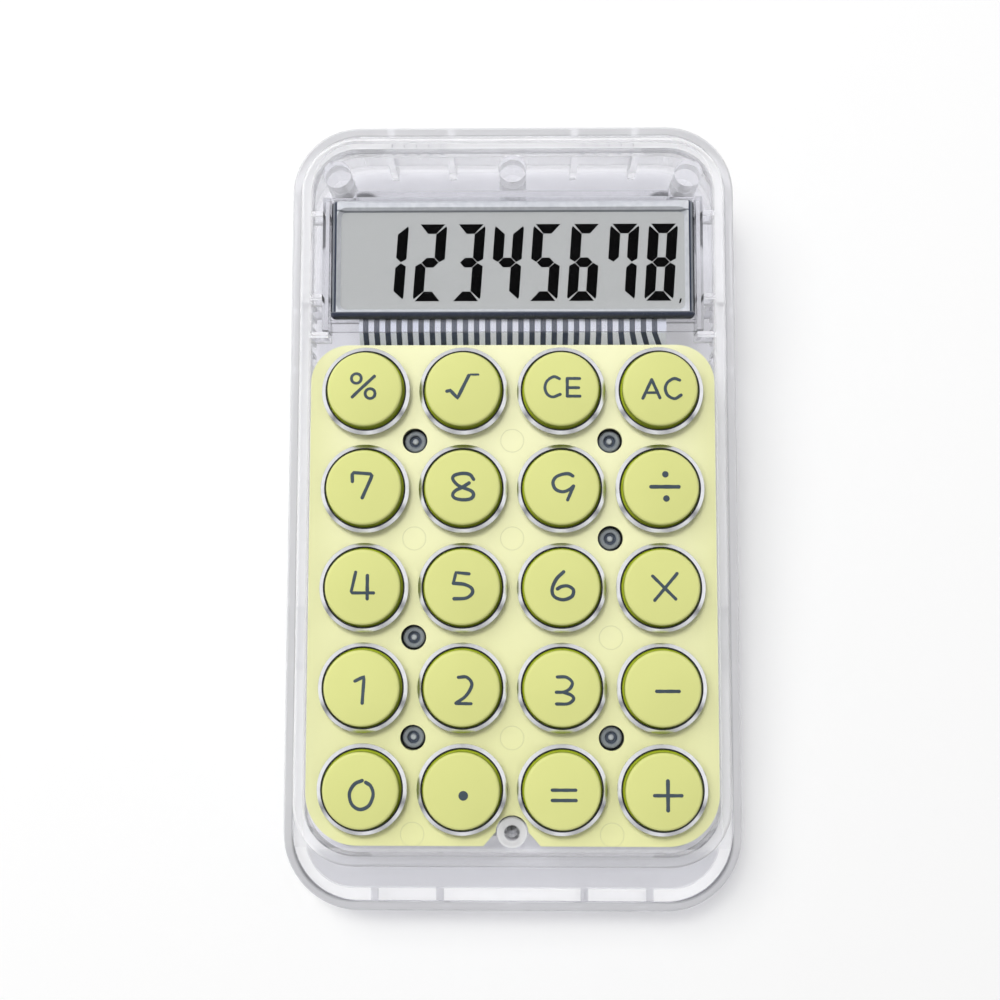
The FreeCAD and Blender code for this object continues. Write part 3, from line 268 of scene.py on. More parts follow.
    def from_axis(self, y):
        """Distance in metres from a line square to the top face, on the middle plane of the case."""
        place = self.flat_place(self.along(X_AXIS), self.along(Y_AXIS))
        return self.measure("DISTANCE", place, (0.0, y * MM, 0.0))

    def outside_rim(self):
        """Distance from the outer wall of the case in metres, below 0 inside it."""
        place = self.flat_place(self.across(), self.off(self.along(Y_AXIS), CASE_MIDDLE))
        straight = ((CASE_X - CASE_CORNER) * MM, (CASE_Y - CASE_CORNER) * MM, 0.0)
        beyond = self.vector("MAXIMUM", self.vector("SUBTRACT", place, straight), ORIGIN)
        return self.number("SUBTRACT", self.measure("LENGTH", beyond), CASE_CORNER * MM)

    def between_clips(self, share):
        """A share that drops to 0 at the clip ribs of the front wall."""
        across = self.across()
        for place in CLIP_PLACES:
            clear_of_rib = self.step(self.off(across, place), 0.0, 1.0, CLIP_HALF, CLIP_HALF + CLIP_SOFT)
            share = self.number("MULTIPLY", share, clear_of_rib)
        return share

    def shader_mix(self, share, first, second):
        mix = self.node("ShaderNodeMixShader")
        for socket, source in zip(mix.inputs, (share, first, second)):
            self.link(source, socket)
        return mix.outputs["Shader"]

    def lets_lamps_through(self, tint):
        """Clear plastic: rays from the lamps pass straight through it."""
        clear = self.node("ShaderNodeBsdfTransparent")
        clear.inputs["Color"].default_value = tint
        to_lamp = self.node("ShaderNodeLightPath").outputs["Is Shadow Ray"]
        both = self.shader_mix(to_lamp, self.shader.outputs["BSDF"], clear.outputs["BSDF"])
        self.link(both, self.output.inputs["Surface"])


# Outline of the case in the key frame, in mm
CASE_X = 44.4
CASE_Y = 77.65
CASE_MIDDLE = 15.65
CASE_CORNER = 14.0
CHIN_BACK = -49.4
CHIN_FRONT = -50.8
CLIP_PLACES = (13.9, 26.5)
CLIP_HALF = 0.65
CLIP_SOFT = 0.15

# Where the clear plastic is hazy, in mm, and how clear it is there, from 0 to 1
RIM_SOFT = 0.6
LAND_EDGE = 7.92
LAND_SOFT = 0.12
LAND_CLARITY = 0.3
BOSS_Y = -46.4
BOSS_EDGE = 2.75
BOSS_BORE = 1.45
BOSS_SOFT = 0.1
BOSS_CLARITY = 0.4
CHIN_CLARITY = 0.82
# The pale band along the front of the chin, a painted highlight
HIGHLIGHT_BAND_EDGE = 4.2
HIGHLIGHT_BAND_SOFT = 0.25
HIGHLIGHT_BAND_CLARITY = 0.45
HOOK_TOP = -6.5
HOOK_SOFT = 0.3
HOOK_CLARITY = 0.3
WALL_TOP = -5.9
WALL_SOFT = 0.5
WALL_CLARITY = 0.75
HOLDER_CLARITY = 0.95
# Clear plastic varies between these shares of its roughness
GLOSS_LOW = 0.6
GLOSS_HIGH = 1.6


def rim_clearness(look, inside, wall, wall_depth):
    """How clear the plastic is, inside the case and near its outer wall."""
    return look.step(look.outside_rim(), inside, wall, -(wall_depth + RIM_SOFT), -wall_depth)


def behind_chin(look):
    """A share that goes from 0 in the chin to 1 behind it."""
    return look.step(look.along(Y_AXIS), 0.0, 1.0, CHIN_FRONT, CHIN_BACK)


# The chin is tinted a deeper grey, as painted shade
def chin_painted_shade(look, shaded_chin_colour, colour):
    return look.ramp(behind_chin(look), [(0.0, shaded_chin_colour), (1.0, colour)])


def clear_plastic(look, clearness, colour, roughness, lamp_tint):
    """What all the clear pieces share: uneven gloss, faint waves and lamps that shine through."""
    look.set(IOR=1.49, Transmission_Weight=clearness, Base_Color=colour)
    look.rough_noise(scale=180.0, low=roughness * GLOSS_LOW, high=roughness * GLOSS_HIGH)
    look.bump(look.noise(scale=60.0, detail=1.0), distance_mm=0.01, strength=0.15, flat=True)
    look.lets_lamps_through(lamp_tint)
    return look.material


def lid_plastic():
    """The lid has the fine haze of a textured mould near its wall, at the edges of the key holes, on the
    front boss, low on the hooks and in the chin, which has a deeper tint as painted shade and a pale band
    along its front as a painted highlight."""
    look = Look("clear_lid")
    rim = rim_clearness(look, inside=1.0, wall=0.66, wall_depth=4.4)
    holes = [KEY_FRAME @ Vector((*key_centre(name), 0.0)) for name in KEYS]
    land = look.step(look.nearest(holes), LAND_CLARITY, 1.0, LAND_EDGE, LAND_EDGE + LAND_SOFT)
    axis = look.from_axis(BOSS_Y)
    around = look.step(axis, BOSS_CLARITY, 1.0, BOSS_EDGE, BOSS_EDGE + BOSS_SOFT)
    bore = look.step(axis, 1.0, 0.0, BOSS_BORE, BOSS_BORE + BOSS_SOFT)
    boss = look.number("MAXIMUM", around, bore)
    band = look.step(look.outside_rim(), 0.0, 1.0, -(HIGHLIGHT_BAND_EDGE + HIGHLIGHT_BAND_SOFT), -HIGHLIGHT_BAND_EDGE)
    band = look.between_clips(band)
    front = look.span(band, CHIN_CLARITY, HIGHLIGHT_BAND_CLARITY)
    chin = look.number("MAXIMUM", front, behind_chin(look))
    hooks = look.step(look.height(), HOOK_CLARITY, 1.0, HOOK_TOP - HOOK_SOFT, HOOK_TOP)
    clearness = look.least([rim, land, boss, chin, hooks])
    colour = srgb(253, 253, 254)
    # Painted shade and highlight: a deeper tint in the chin for shade, and the paler band along its front for
    # a highlight
    tinted = look.mixed(band, chin_painted_shade(look, srgb(226, 226, 229), colour), colour)
    return clear_plastic(look, clearness, tinted, roughness=0.03, lamp_tint=srgb(254, 254, 255))


def tray_plastic():
    """The tray is hazy along its rim, and clearer in the walls below."""
    look = Look("clear_tray")
    rim = rim_clearness(look, inside=0.88, wall=0.32, wall_depth=1.5)
    walls = look.step(look.height(), WALL_CLARITY, 0.0, WALL_TOP - WALL_SOFT, WALL_TOP)
    clearness = look.number("MAXIMUM", rim, walls)
    # Painted shade: the tray is tinted a little deeper in the chin
    tinted = chin_painted_shade(look, srgb(234, 234, 238), srgb(240, 240, 243))
    return clear_plastic(look, clearness, tinted, roughness=0.05, lamp_tint=srgb(216, 216, 219))


def holder_plastic():
    look = Look("clear_holder")
    colour = srgb(250, 250, 252)
    return clear_plastic(look, HOLDER_CLARITY, colour, roughness=0.03, lamp_tint=srgb(252, 252, 254))


def moulded(name, dark, light, low, high, grain_mm=0.01, specular=0.5):
    """Moulded plastic or rubber: faint clouding, roughness from low to high and a fine grain."""
    look = Look(name)
    look.set(Base_Color=look.clouded(scale=90.0, dark=dark, light=light), Specular_IOR_Level=specular)
    look.rough_noise(scale=700.0, low=low, high=high)
    look.bump(look.noise(scale=4500.0, detail=2.0), distance_mm=grain_mm, strength=0.4)
    return look.material


def metal(name, dark, light, low, high):
    look = Look(name)
    look.set(Base_Color=look.clouded(scale=900.0, dark=dark, light=light), Metallic=1.0)
    look.rough_noise(scale=2500.0, low=low, high=high)
    look.bump(look.noise(scale=6000.0, detail=2.0), distance_mm=0.004, strength=0.4)
    return look.material


# The sides of the keys are painted a deeper olive where they go down into the rings, as painted shade of the
# gap round each key
KEY_EDGE = 2.5
KEY_SIDE = 2.1
KEY_GAP_SHADE = srgb(168, 182, 46)


def key_plastic():
    look = Look("key_plastic")
    tops = look.clouded(scale=45.0, dark=srgb(222, 225, 144), light=srgb(228, 231, 150))
    # Painted shade: low on its sides each key takes the deeper olive of the shaded gap
    depth = look.step(look.height(), 1.0, 0.0, KEY_SIDE, KEY_EDGE)
    look.set(Base_Color=look.mixed(depth, tops, KEY_GAP_SHADE), Specular_IOR_Level=0.35)
    look.rough_noise(scale=900.0, low=0.42, high=0.52)
    look.bump(look.noise(scale=5200.0, detail=2.0), distance_mm=0.008, strength=0.35)
    return look.material


# The panel is darker towards its front, and darker towards its sides as painted shade from the lid's edges,
# with faint round ejector marks between the keys and painted shade in the wells round the screws. Marks and
# screws are placed in key pitches.
EJECTOR_MARKS = [(0.0, 1.5), (-1.0, 0.5), (0.0, 0.5), (1.0, -0.5), (0.0, -1.5), (-1.0, -2.45), (1.0, -2.45)]
EJECTOR_RADIUS = 2.25
EJECTOR_LINE = 0.14
EJECTOR_SHADE = 0.55
SCREW_CROSSINGS = [(-1, 1.5), (1, 1.5), (1, 0.5), (-1, -0.5), (-1, -1.5), (1, -1.5)]
# Reach and heights of the painted shade in the screw wells, in mm
WELL_SHADE_REACH = 3.04
WELL_SHADE_FULL = -2.6
WELL_SHADE_START = -2.1
PANEL_SIDE_SHADE_FULL = 38.5
PANEL_SIDE_SHADE_START = 31.0
PANEL_FRONT = -50.0
PANEL_PALE = 25.0


def crossings(places, depth):
    return [KEY_FRAME @ Vector((across * PITCH_X, along * PITCH_Y, depth)) for across, along in places]


def panel_plastic():
    look = Look("panel_plastic")
    plain = look.clouded(scale=30.0, dark=srgb(249, 249, 199), light=srgb(252, 252, 208))
    front = look.step(look.along(Y_AXIS), 1.0, 0.0, PANEL_FRONT, PANEL_PALE)
    # Painted shade: the panel is painted darker towards its sides, as shade from the lid's edges
    side = look.step(look.across(), 0.0, 1.0, PANEL_SIDE_SHADE_START, PANEL_SIDE_SHADE_FULL)
    sheet = look.mixed(side, look.mixed(front, plain, srgb(236, 237, 174)), srgb(232, 233, 178))
    edge = look.off(look.nearest(crossings(EJECTOR_MARKS, PANEL_TOP)), EJECTOR_RADIUS)
    mark = look.step(edge, 1.0, 0.0, 0.0, EJECTOR_LINE)
    marked = look.mixed(look.span(mark, 0.0, EJECTOR_SHADE), sheet, srgb(196, 198, 150))
    # Painted shade: low in the wells round the screws, where shade falls, the panel is painted near black
    from_screw = look.nearest(crossings(SCREW_CROSSINGS, SCREW_SEAT))
    near_screw = look.number("LESS_THAN", from_screw, WELL_SHADE_REACH * MM)
    depth = look.step(look.height(), 1.0, 0.0, WELL_SHADE_FULL, WELL_SHADE_START)
    painted_well_shade = look.number("MULTIPLY", near_screw, depth)
    look.set(Base_Color=look.mixed(painted_well_shade, marked, srgb(52, 54, 50)), Specular_IOR_Level=0.4)
    look.rough_noise(scale=600.0, low=0.3, high=0.42)
    look.bump(mark, distance_mm=0.02, strength=0.5, flat=True)
    return look.material


def display_face():
    """The grey reflecting face of the display, with the faint sparkle of its diffuser."""
    look = Look("display_face")
    face = look.clouded(scale=3500.0, dark=srgb(178, 180, 179), light=srgb(186, 188, 187))
    look.set(Base_Color=face, Specular_IOR_Level=0.4)
    look.rough_noise(scale=1200.0, low=0.3, high=0.4)
    look.bump(look.noise(scale=7000.0, detail=1.0), distance_mm=0.002, strength=0.3)
    return look.material


# The display frame is painted with light: a painted highlight on the bevel round the window, a painted shade
# line along the back of the window, and dark edges at both sides and in front that are partly its own dark
# edge and partly painted reflection and shade
FRAME_X = 36.2
FRAME_FRONT = 53.4
BEVEL_SIDE = 1.1
BEVEL_FRONT = 1.4
WINDOW_X = FRAME_X - BEVEL_SIDE
WINDOW_Y = FRAME_FRONT + BEVEL_FRONT
WINDOW_BACK = 75.4
WINDOW_SHADE_LINE = 0.22
EDGE_START = 0.02


def frame_plastic():
    look = Look("display_frame")
    navy_painted_reflection, grey_painted_shade, edge = srgb(54, 60, 76), srgb(132, 136, 142), srgb(38, 40, 46)
    along = look.along(Y_AXIS)
    # Painted light: highlight on the bevel, shade line at the window's back, dark reflection and shade on the
    # edges
    painted_lit_bevel = look.clouded(scale=900.0, dark=srgb(206, 209, 214), light=srgb(222, 224, 228))
    line = look.step(look.off(along, WINDOW_BACK), 1.0, 0.0, WINDOW_SHADE_LINE / 2, WINDOW_SHADE_LINE)
    beside = look.step(look.across(), 0.0, 1.0, WINDOW_X, FRAME_X)
    ends = look.ramp(beside, [(0.05, navy_painted_reflection), (0.32, navy_painted_reflection), (0.42, grey_painted_shade), (0.7, grey_painted_shade), (0.8, edge)])
    before = look.step(along, 1.0, 0.0, FRAME_FRONT, WINDOW_Y)
    front = look.ramp(before, [(0.0, grey_painted_shade), (0.25, navy_painted_reflection), (1.0, edge)])
    colour = look.mixed(line, painted_lit_bevel, grey_painted_shade)
    colour = look.mixed(look.number("GREATER_THAN", beside, EDGE_START), colour, ends)
    colour = look.mixed(look.number("GREATER_THAN", before, EDGE_START), colour, front)
    look.set(Base_Color=colour)
    look.rough_noise(scale=2500.0, low=0.18, high=0.28)
    look.bump(look.noise(scale=5000.0, detail=2.0), distance_mm=0.003, strength=0.3)
    return look.material


# Screw heads: a grey collar, a dark recess painted with shade and a pale pin in its middle painted with a
# highlight
PIN_EDGE = 0.55
PIN_SOFT = 0.12
RECESS_EDGE = 1.08
COLLAR_SOFT = 0.4
SHADE_REACH = 2.0
SHADE_HEIGHT = 1.0


def screw_steel():
    look = Look("dark_screw")
    centres = crossings(SCREW_CROSSINGS, SCREW_SEAT + SHADE_HEIGHT)
    reach = look.step(look.nearest(centres), 0.0, 1.0, 0.0, SHADE_REACH)
    # Painted light: the recess is painted dark slate as shade and the pin pale as a highlight
    pin, recess_shade, collar = srgb(184, 189, 193), srgb(80, 89, 102), srgb(140, 146, 151)
    edges = [(PIN_EDGE, pin), (PIN_EDGE + PIN_SOFT, recess_shade)]
    edges += [(RECESS_EDGE, recess_shade), (RECESS_EDGE + COLLAR_SOFT, collar)]
    look.set(Base_Color=look.ramp(reach, [(place / SHADE_REACH, colour) for place, colour in edges]))
    look.rough_noise(scale=800.0, low=0.28, high=0.42)
    look.bump(look.noise(scale=5000.0, detail=2.0), distance_mm=0.004, strength=0.4)
    return look.material


def board_look():
    """A pale board with the faint lines of its tracks under the solder mask."""
    look = Look("circuit_board")
    wave = look.node("ShaderNodeTexWave", wave_type="BANDS", bands_direction="X", wave_profile="SIN")
    wave.inputs["Scale"].default_value = 160.0
    wave.inputs["Distortion"].default_value = 3.0
    wave.inputs["Detail"].default_value = 1.0
    look.link(look.coordinates, wave.inputs["Vector"])
    tracks = wave.outputs["Fac"]
    look.set(Base_Color=look.ramp(tracks, [(0.35, srgb(226, 227, 228)), (0.5, srgb(238, 239, 240))]))
    look.rough_noise(scale=500.0, low=0.3, high=0.45)
    look.bump(tracks, distance_mm=0.03, strength=0.3)
    return look.material


CLEAR = lid_plastic()
TRAY = tray_plastic()
HOLDER = holder_plastic()
INK = moulded("key_ink", srgb(64, 76, 86), srgb(76, 90, 100), low=0.45, high=0.6, grain_mm=0.004)
LCD_INK = moulded(
    "display_ink", srgb(1, 1, 2), srgb(4, 4, 5), low=0.5, high=0.6, grain_mm=0.002, specular=0.02,
)
STRIPE = moulded("ribbon_stripe", srgb(62, 68, 84), srgb(84, 92, 110), low=0.35, high=0.5, grain_mm=0.003)
FILM = moulded("ribbon_film", srgb(240, 244, 255), srgb(248, 250, 255), low=0.35, high=0.5, grain_mm=0.003)
RUBBER = moulded("foot_rubber", srgb(112, 114, 118), srgb(126, 128, 132), low=0.7, high=0.85, grain_mm=0.02)
SILICONE = moulded("keypad_silicone", srgb(214, 214, 208), srgb(226, 226, 220), low=0.5, high=0.65)
RESIN = moulded("chip_resin", srgb(22, 22, 25), srgb(34, 34, 38), low=0.25, high=0.4)
RING_METAL = metal("ring_metal", srgb(228, 229, 232), srgb(238, 239, 242), low=0.12, high=0.2)
BRIGHT_STEEL = metal("bright_steel", srgb(196, 197, 200), srgb(212, 213, 216), low=0.16, high=0.28)
CELL_STEEL = metal("cell_steel", srgb(196, 196, 196), srgb(212, 212, 212), low=0.2, high=0.34)
CLIP_METAL = metal("clip_metal", srgb(200, 186, 140), srgb(216, 204, 160), low=0.2, high=0.34)
KEY_PLASTIC = key_plastic()
PANEL_PLASTIC = panel_plastic()
DISPLAY_FACE = display_face()
BOARD = board_look()
FRAME_PLASTIC = frame_plastic()
SCREW_STEEL = screw_steel()


def dress(node, material):
    mesh = NODES[node].data
    mesh.materials.clear()
    mesh.materials.append(material)


DRESS = {
    "upper_shell": CLEAR,
    "key_rings": RING_METAL,
    "lower_shell": TRAY,
    "battery_door": TRAY,
    "display_holder": HOLDER,
    "key_panel": PANEL_PLASTIC,
    "rubber_keypad": SILICONE,
    "circuit_board": BOARD,
    "panel_screws": SCREW_STEEL,
    "case_screw": BRIGHT_STEEL,
    "display_frame": FRAME_PLASTIC,
    "display_glass": DISPLAY_FACE,
    "display_ribbon": FILM,
    "coin_cell": CELL_STEEL,
    "battery_clip": CLIP_METAL,
    "chip_cap": RESIN,
    "rubber_feet": RUBBER,
}
for node, material in DRESS.items():
    dress(node, material)
for name in KEYS:
    dress(name, KEY_PLASTIC)


# Pieces made in mesh code

def add_piece(name, mesh_maker, material, body, matrix=KEY_FRAME):
    mesh = bpy.data.meshes.new(name)
    shape = bmesh.new()
    mesh_maker(shape)
    bmesh.ops.transform(shape, matrix=matrix, verts=shape.verts)
    bmesh.ops.recalc_face_normals(shape, faces=shape.faces)
    shape.to_mesh(mesh)
    shape.free()
    mesh.materials.append(material)
    piece = bpy.data.objects.new(name, mesh)
    bpy.context.collection.objects.link(piece)
    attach(piece, body)
    return piece


def join_loops(shape, near, far):
    """Faces between two closed loops that have as many points."""
    count = len(near)
    for a in range(count):
        b = (a + 1) % count
        shape.faces.new((near[a], near[b], far[b], far[a]))


def add_loops(shape, profile, sides):
    """Loops of points round the key's axis, one for each radius and height of a profile."""
    turns = [math.tau * side / sides for side in range(sides)]
    loops = []
    for reach, z in profile:
        loops.append([shape.verts.new((reach * math.cos(t), reach * math.sin(t), z)) for t in turns])
    return loops


def add_prism(shape, outline, low, high):
    """A flat polygon, given by its corners, made solid between two heights."""
    under = [shape.verts.new((x, y, low)) for x, y in outline]
    over = [shape.verts.new((x, y, high)) for x, y in outline]
    shape.faces.new(over)
    shape.faces.new(list(reversed(under)))
    join_loops(shape, under, over)


# Legends: pen strokes in mm from the legend's own centre, printed a little proud of the key tops
INK_LOW = -0.05
INK_HIGH = 0.05
STROKE_LIFT = 0.004
CURVE_STEPS = 7
STRAIGHT_STEP = 0.5
CAP_STEPS = 5
TIP_HALF = 0.01
DOT_SIDES = 28
RING_STEPS = 12
WOBBLE = 0.05
WOBBLE_TURNS = 2.3


def smoothed(points):
    """Points along a smooth curve through the given ones."""
    vectors = [Vector(p) for p in points]
    ends = [vectors[0] * 2 - vectors[1]] + vectors + [vectors[-1] * 2 - vectors[-2]]
    line = []
    for i in range(1, len(ends) - 2):
        p0, p1, p2, p3 = ends[i - 1:i + 3]
        for step in range(CURVE_STEPS):
            t = step / CURVE_STEPS
            line.append(
                (p1 * 2 + (p2 - p0) * t + (p0 * 2 - p1 * 5 + p2 * 4 - p3) * t**2
                 + (p1 * 3 - p0 - p2 * 3 + p3) * t**3) / 2
            )
    line.append(vectors[-1])
    return line


def divided(points):
    """Points along straight lines through the given ones, close enough to follow a domed key top."""
    line = []
    for start, end in zip(points, points[1:]):
        start, end = Vector(start), Vector(end)
        count = max(1, round((end - start).length / STRAIGHT_STEP))
        line += [start.lerp(end, i / count) for i in range(count)]
    line.append(Vector(points[-1]))
    return line


def stroke_stations(line, radius):
    """Places along a pen stroke with its half width there, with a round cap at each end."""
    start_way = (line[0] - line[1]).normalized()
    end_way = (line[-1] - line[-2]).normalized()
    stations = []
    for step in range(CAP_STEPS):
        turn = math.pi / 2 * step / CAP_STEPS
        tip = line[0] + start_way * radius * math.cos(turn)
        stations.append((tip, max(radius * math.sin(turn), TIP_HALF)))
    for i, point in enumerate(line):
        wave = math.sin(math.tau * WOBBLE_TURNS * i / len(line))
        stations.append((point, radius * (1 + WOBBLE * wave)))
    for step in range(CAP_STEPS):
        turn = math.pi / 2 * (step + 1) / CAP_STEPS
        tip = line[-1] + end_way * radius * math.sin(turn)
        stations.append((tip, max(radius * math.cos(turn), TIP_HALF)))
    return stations


def add_stroke(shape, points, width, smooth, lift):
    """A pen stroke with round ends."""
    stations = stroke_stations(smoothed(points) if smooth else divided(points), width / 2)
    places = [place for place, _ in stations]
    top = INK_HIGH + lift
    previous = None
    for i, (place, half) in enumerate(stations):
        before = places[max(i - 1, 0)]
        after = places[min(i + 1, len(places) - 1)]
        along = (after - before).normalized()
        side = Vector((-along.y, along.x)) * half
        left, right = place + side, place - side
        corners = ((left, INK_LOW), (left, top), (right, top), (right, INK_LOW))
        loop = [shape.verts.new((corner.x, corner.y, z)) for corner, z in corners]
        if previous is None:
            shape.faces.new(loop)
        else:
            join_loops(shape, previous, loop)
        previous = loop
    shape.faces.new(list(reversed(previous)))


def add_dot(shape, x, y, radius):
    outline = []
    for i in range(DOT_SIDES):
        turn = math.tau * i / DOT_SIDES
        outline.append((x + radius * math.cos(turn), y + radius * math.sin(turn)))
    add_prism(shape, outline, INK_LOW, INK_HIGH)


def ring_points(x, y, radius):
    turns = [math.tau * i / RING_STEPS for i in range(RING_STEPS + 1)]
    return [(x + radius * math.cos(t), y + radius * math.sin(t)) for t in turns]


CURVED = True
STRAIGHT = False
# Each legend: its centre on the key, then its strokes as (kind, width, points), and its dots
LEGENDS = {
    "key_percent": ((-0.2, 0.5), [
        (CURVED, 0.55, ring_points(-1.34, 1.46, 0.95)),
        (CURVED, 0.55, ring_points(1.36, -1.5, 0.95)),
        (STRAIGHT, 0.6, [(-2.1, -2.15), (-0.7, -0.8), (0.8, 0.6), (2.15, 1.9)]),
    ], []),
    "key_root": ((-0.1, 0.3), [
        (STRAIGHT, 0.66, [(-2.95, -0.85), (-2.3, -0.7), (-0.9, -2.2), (1.25, 2.2)]),
        (STRAIGHT, 0.4, [(1.25, 2.2), (1.6, 2.4), (3.1, 2.4)]),
    ], []),
    "key_clear_entry": ((0.3, 0.25), [
        (CURVED, 0.56, [(-0.7, 1.6), (-1.8, 2.0), (-3.05, 1.2), (-3.5, -0.1), (-3.05, -1.4), (-2.0, -1.95),
                        (-0.55, -1.45)]),
        (STRAIGHT, 0.6, [(0.8, 1.65), (0.8, -1.8)]),
        (STRAIGHT, 0.56, [(0.8, 1.65), (3.2, 1.65)]),
        (STRAIGHT, 0.56, [(0.9, -0.15), (3.0, -0.15)]),
        (STRAIGHT, 0.56, [(0.8, -1.8), (3.25, -1.8)]),
    ], []),
    "key_all_clear": ((0.3, -0.15), [
        (STRAIGHT, 0.6, [(-3.7, -1.8), (-2.0, 1.8)]),
        (STRAIGHT, 0.6, [(-2.0, 1.8), (-0.45, -1.75)]),
        (STRAIGHT, 0.5, [(-2.9, -0.75), (-0.95, -0.75)]),
        (CURVED, 0.58, [(3.4, 1.7), (2.3, 2.0), (1.05, 1.25), (0.6, 0.0), (1.1, -1.3), (2.4, -1.9),
                        (3.65, -1.2)]),
    ], []),
    "key_seven": ((-0.2, 0.25), [
        (STRAIGHT, 0.66, [(-1.88, 0.85), (-1.93, 2.2), (-1.6, 2.55), (1.55, 2.3), (1.85, 1.95), (1.55, 1.1),
                          (0.05, -2.3)]),
    ], []),
    "key_eight": ((0.15, 0.2), [
        (CURVED, 0.66, [(2.0, 1.3), (1.3, 2.2), (-0.05, 2.45), (-1.6, 2.1), (-2.0, 1.4), (-1.3, 0.4),
                        (-0.2, -0.25), (1.5, -0.9), (2.0, -1.65), (1.5, -2.4), (0.05, -2.65),
                        (-1.5, -2.35), (-2.0, -1.7), (-1.5, -0.9), (-0.2, -0.25), (1.15, 0.6)]),
    ], []),
    "key_nine": ((0.45, 0.2), [
        (CURVED, 0.64, [(1.65, 1.95), (0.9, 2.35), (-0.2, 2.3), (-1.6, 1.7), (-2.15, 0.6), (-1.6, -0.65),
                        (-0.2, -1.1), (1.1, -0.6), (1.8, 0.0)]),
        (STRAIGHT, 0.62, [(1.8, 0.0), (0.65, -2.65)]),
    ], []),
    "key_divide": ((0.5, 0.05), [
        (STRAIGHT, 0.72, [(-2.5, 0.0), (2.8, 0.0)]),
    ], [(0.25, 2.4, 0.62), (0.4, -2.25, 0.62)]),
    "key_four": ((0.05, 0.25), [
        (STRAIGHT, 0.6, [(-1.3, 2.6), (-1.9, -0.2), (-2.1, -1.05), (-1.9, -1.35), (2.15, -1.35)]),
        (STRAIGHT, 0.66, [(0.95, 1.95), (0.95, -2.45)]),
    ], []),
    "key_five": ((0.2, 0.25), [
        (STRAIGHT, 0.6, [(1.15, 2.3), (-1.35, 2.55), (-1.85, 0.5)]),
        (CURVED, 0.66, [(-1.85, 0.5), (0.2, 0.3), (1.6, -0.4), (1.75, -1.4), (0.6, -2.3), (-1.7, -2.45)]),
    ], []),
    "key_six": ((0.2, 0.45), [
        (CURVED, 0.66, [(0.1, 2.5), (-1.3, 1.1), (-2.1, -0.8), (-1.7, -2.2), (-0.05, -2.8), (1.6, -2.2),
                        (1.95, -0.95), (0.9, -0.2), (-0.3, -0.3), (-1.1, -0.75)]),
    ], []),
    "key_multiply": ((0.5, 0.1), [
        (STRAIGHT, 0.6, [(-2.35, 2.05), (2.0, -2.3)]),
        (STRAIGHT, 0.6, [(2.3, 2.55), (-2.0, -2.55)]),
    ], []),
    "key_one": ((0.25, -0.25), [
        (STRAIGHT, 0.62, [(-1.4, 1.65), (0.3, 2.5), (0.28, 1.6), (0.0, -2.5)]),
    ], []),
    "key_two": ((0.3, -0.4), [
        (CURVED, 0.62, [(-0.9, 2.55), (0.7, 2.55), (1.65, 1.2), (0.55, -0.9), (-1.35, -2.3)]),
        (STRAIGHT, 0.58, [(-1.35, -2.35), (1.5, -2.4)]),
    ], []),
    "key_three": ((0.35, -0.2), [
        (CURVED, 0.6, [(-1.3, 2.45), (0.4, 2.4), (1.5, 1.45), (1.1, 0.3), (-0.1, -0.35), (-1.5, -0.4)]),
        (CURVED, 0.62, [(-0.2, -0.38), (1.3, -0.95), (1.75, -1.7), (0.7, -2.55), (-1.45, -2.6)]),
    ], []),
    "key_minus": ((0.65, -0.3), [
        (STRAIGHT, 0.64, [(-1.95, -0.1), (2.3, -0.1)]),
    ], []),
    "key_zero": ((0.25, -0.65), [
        (CURVED, 0.66, [(0.15, 2.65), (-1.3, 1.95), (-2.2, 0.25), (-1.75, -1.75), (-0.25, -2.7),
                        (1.45, -2.0), (2.25, 0.0), (1.8, 1.6), (0.85, 2.3)]),
    ], []),
    "key_point": ((0.4, -0.75), [], [(0.0, 0.0, 0.9)]),
    "key_equals": ((0.25, -0.7), [
        (STRAIGHT, 0.62, [(-2.2, 1.05), (2.2, 1.05)]),
        (STRAIGHT, 0.64, [(-2.2, -0.85), (2.25, -0.85)]),
    ], []),
    "key_plus": ((0.65, -0.8), [
        (STRAIGHT, 0.64, [(-2.5, 0.2), (2.6, 0.2)]),
        (STRAIGHT, 0.72, [(0.0, 2.9), (0.0, -2.55)]),
    ], []),
}


def add_legend(name):
    (centre_x, centre_y), strokes, dots = LEGENDS[name]

    def draw(shape):
        for i, (smooth, width, points) in enumerate(strokes):
            add_stroke(shape, points, width, smooth, i * STROKE_LIFT)
        for x, y, radius in dots:
            add_dot(shape, x, y, radius)
        for vert in shape.verts:
            vert.co.x += centre_x
            vert.co.y += centre_y
            vert.co.z -= KEY_DOME * (vert.co.xy.length / KEY_RADIUS) ** 2

    add_piece("legend_" + short_name(name), draw, INK, name, at_key(name, KEY_TOP))


for name in KEYS:
    add_legend(name)


# The panel and the display holder lie flat against the lid, so that two faces share one plane there. What is
# seen of them stands a hair lower.
CONTACT_GAP = 0.04


def add_lowered_copy(name, node, material):
    mesh = NODES[node].data.copy()
    mesh.name = name
    mesh.transform(Matrix.Translation(KEY_FRAME.to_3x3() @ Vector((0.0, 0.0, -CONTACT_GAP))))
    mesh.materials.clear()
    mesh.materials.append(material)
    piece = bpy.data.objects.new(name, mesh)
    bpy.context.collection.objects.link(piece)
    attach(piece, "case")
    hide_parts(node)


add_lowered_copy("key_panel_sheet", "key_panel", PANEL_PLASTIC)
add_lowered_copy("display_holder_frame", "display_holder", HOLDER)


# Key skirts: a slightly wider foot round each key, which closes the gap to its ring, painted all over in the
# deeper olive of the keys' painted shade
SKIRT_RADIUS = 7.56
SKIRT_INNER = 7.1
SKIRT_TOP = 0.3
SKIRT_EDGE = 0.15
SKIRT_UNDER = -0.8
SKIRT_SIDES = 96


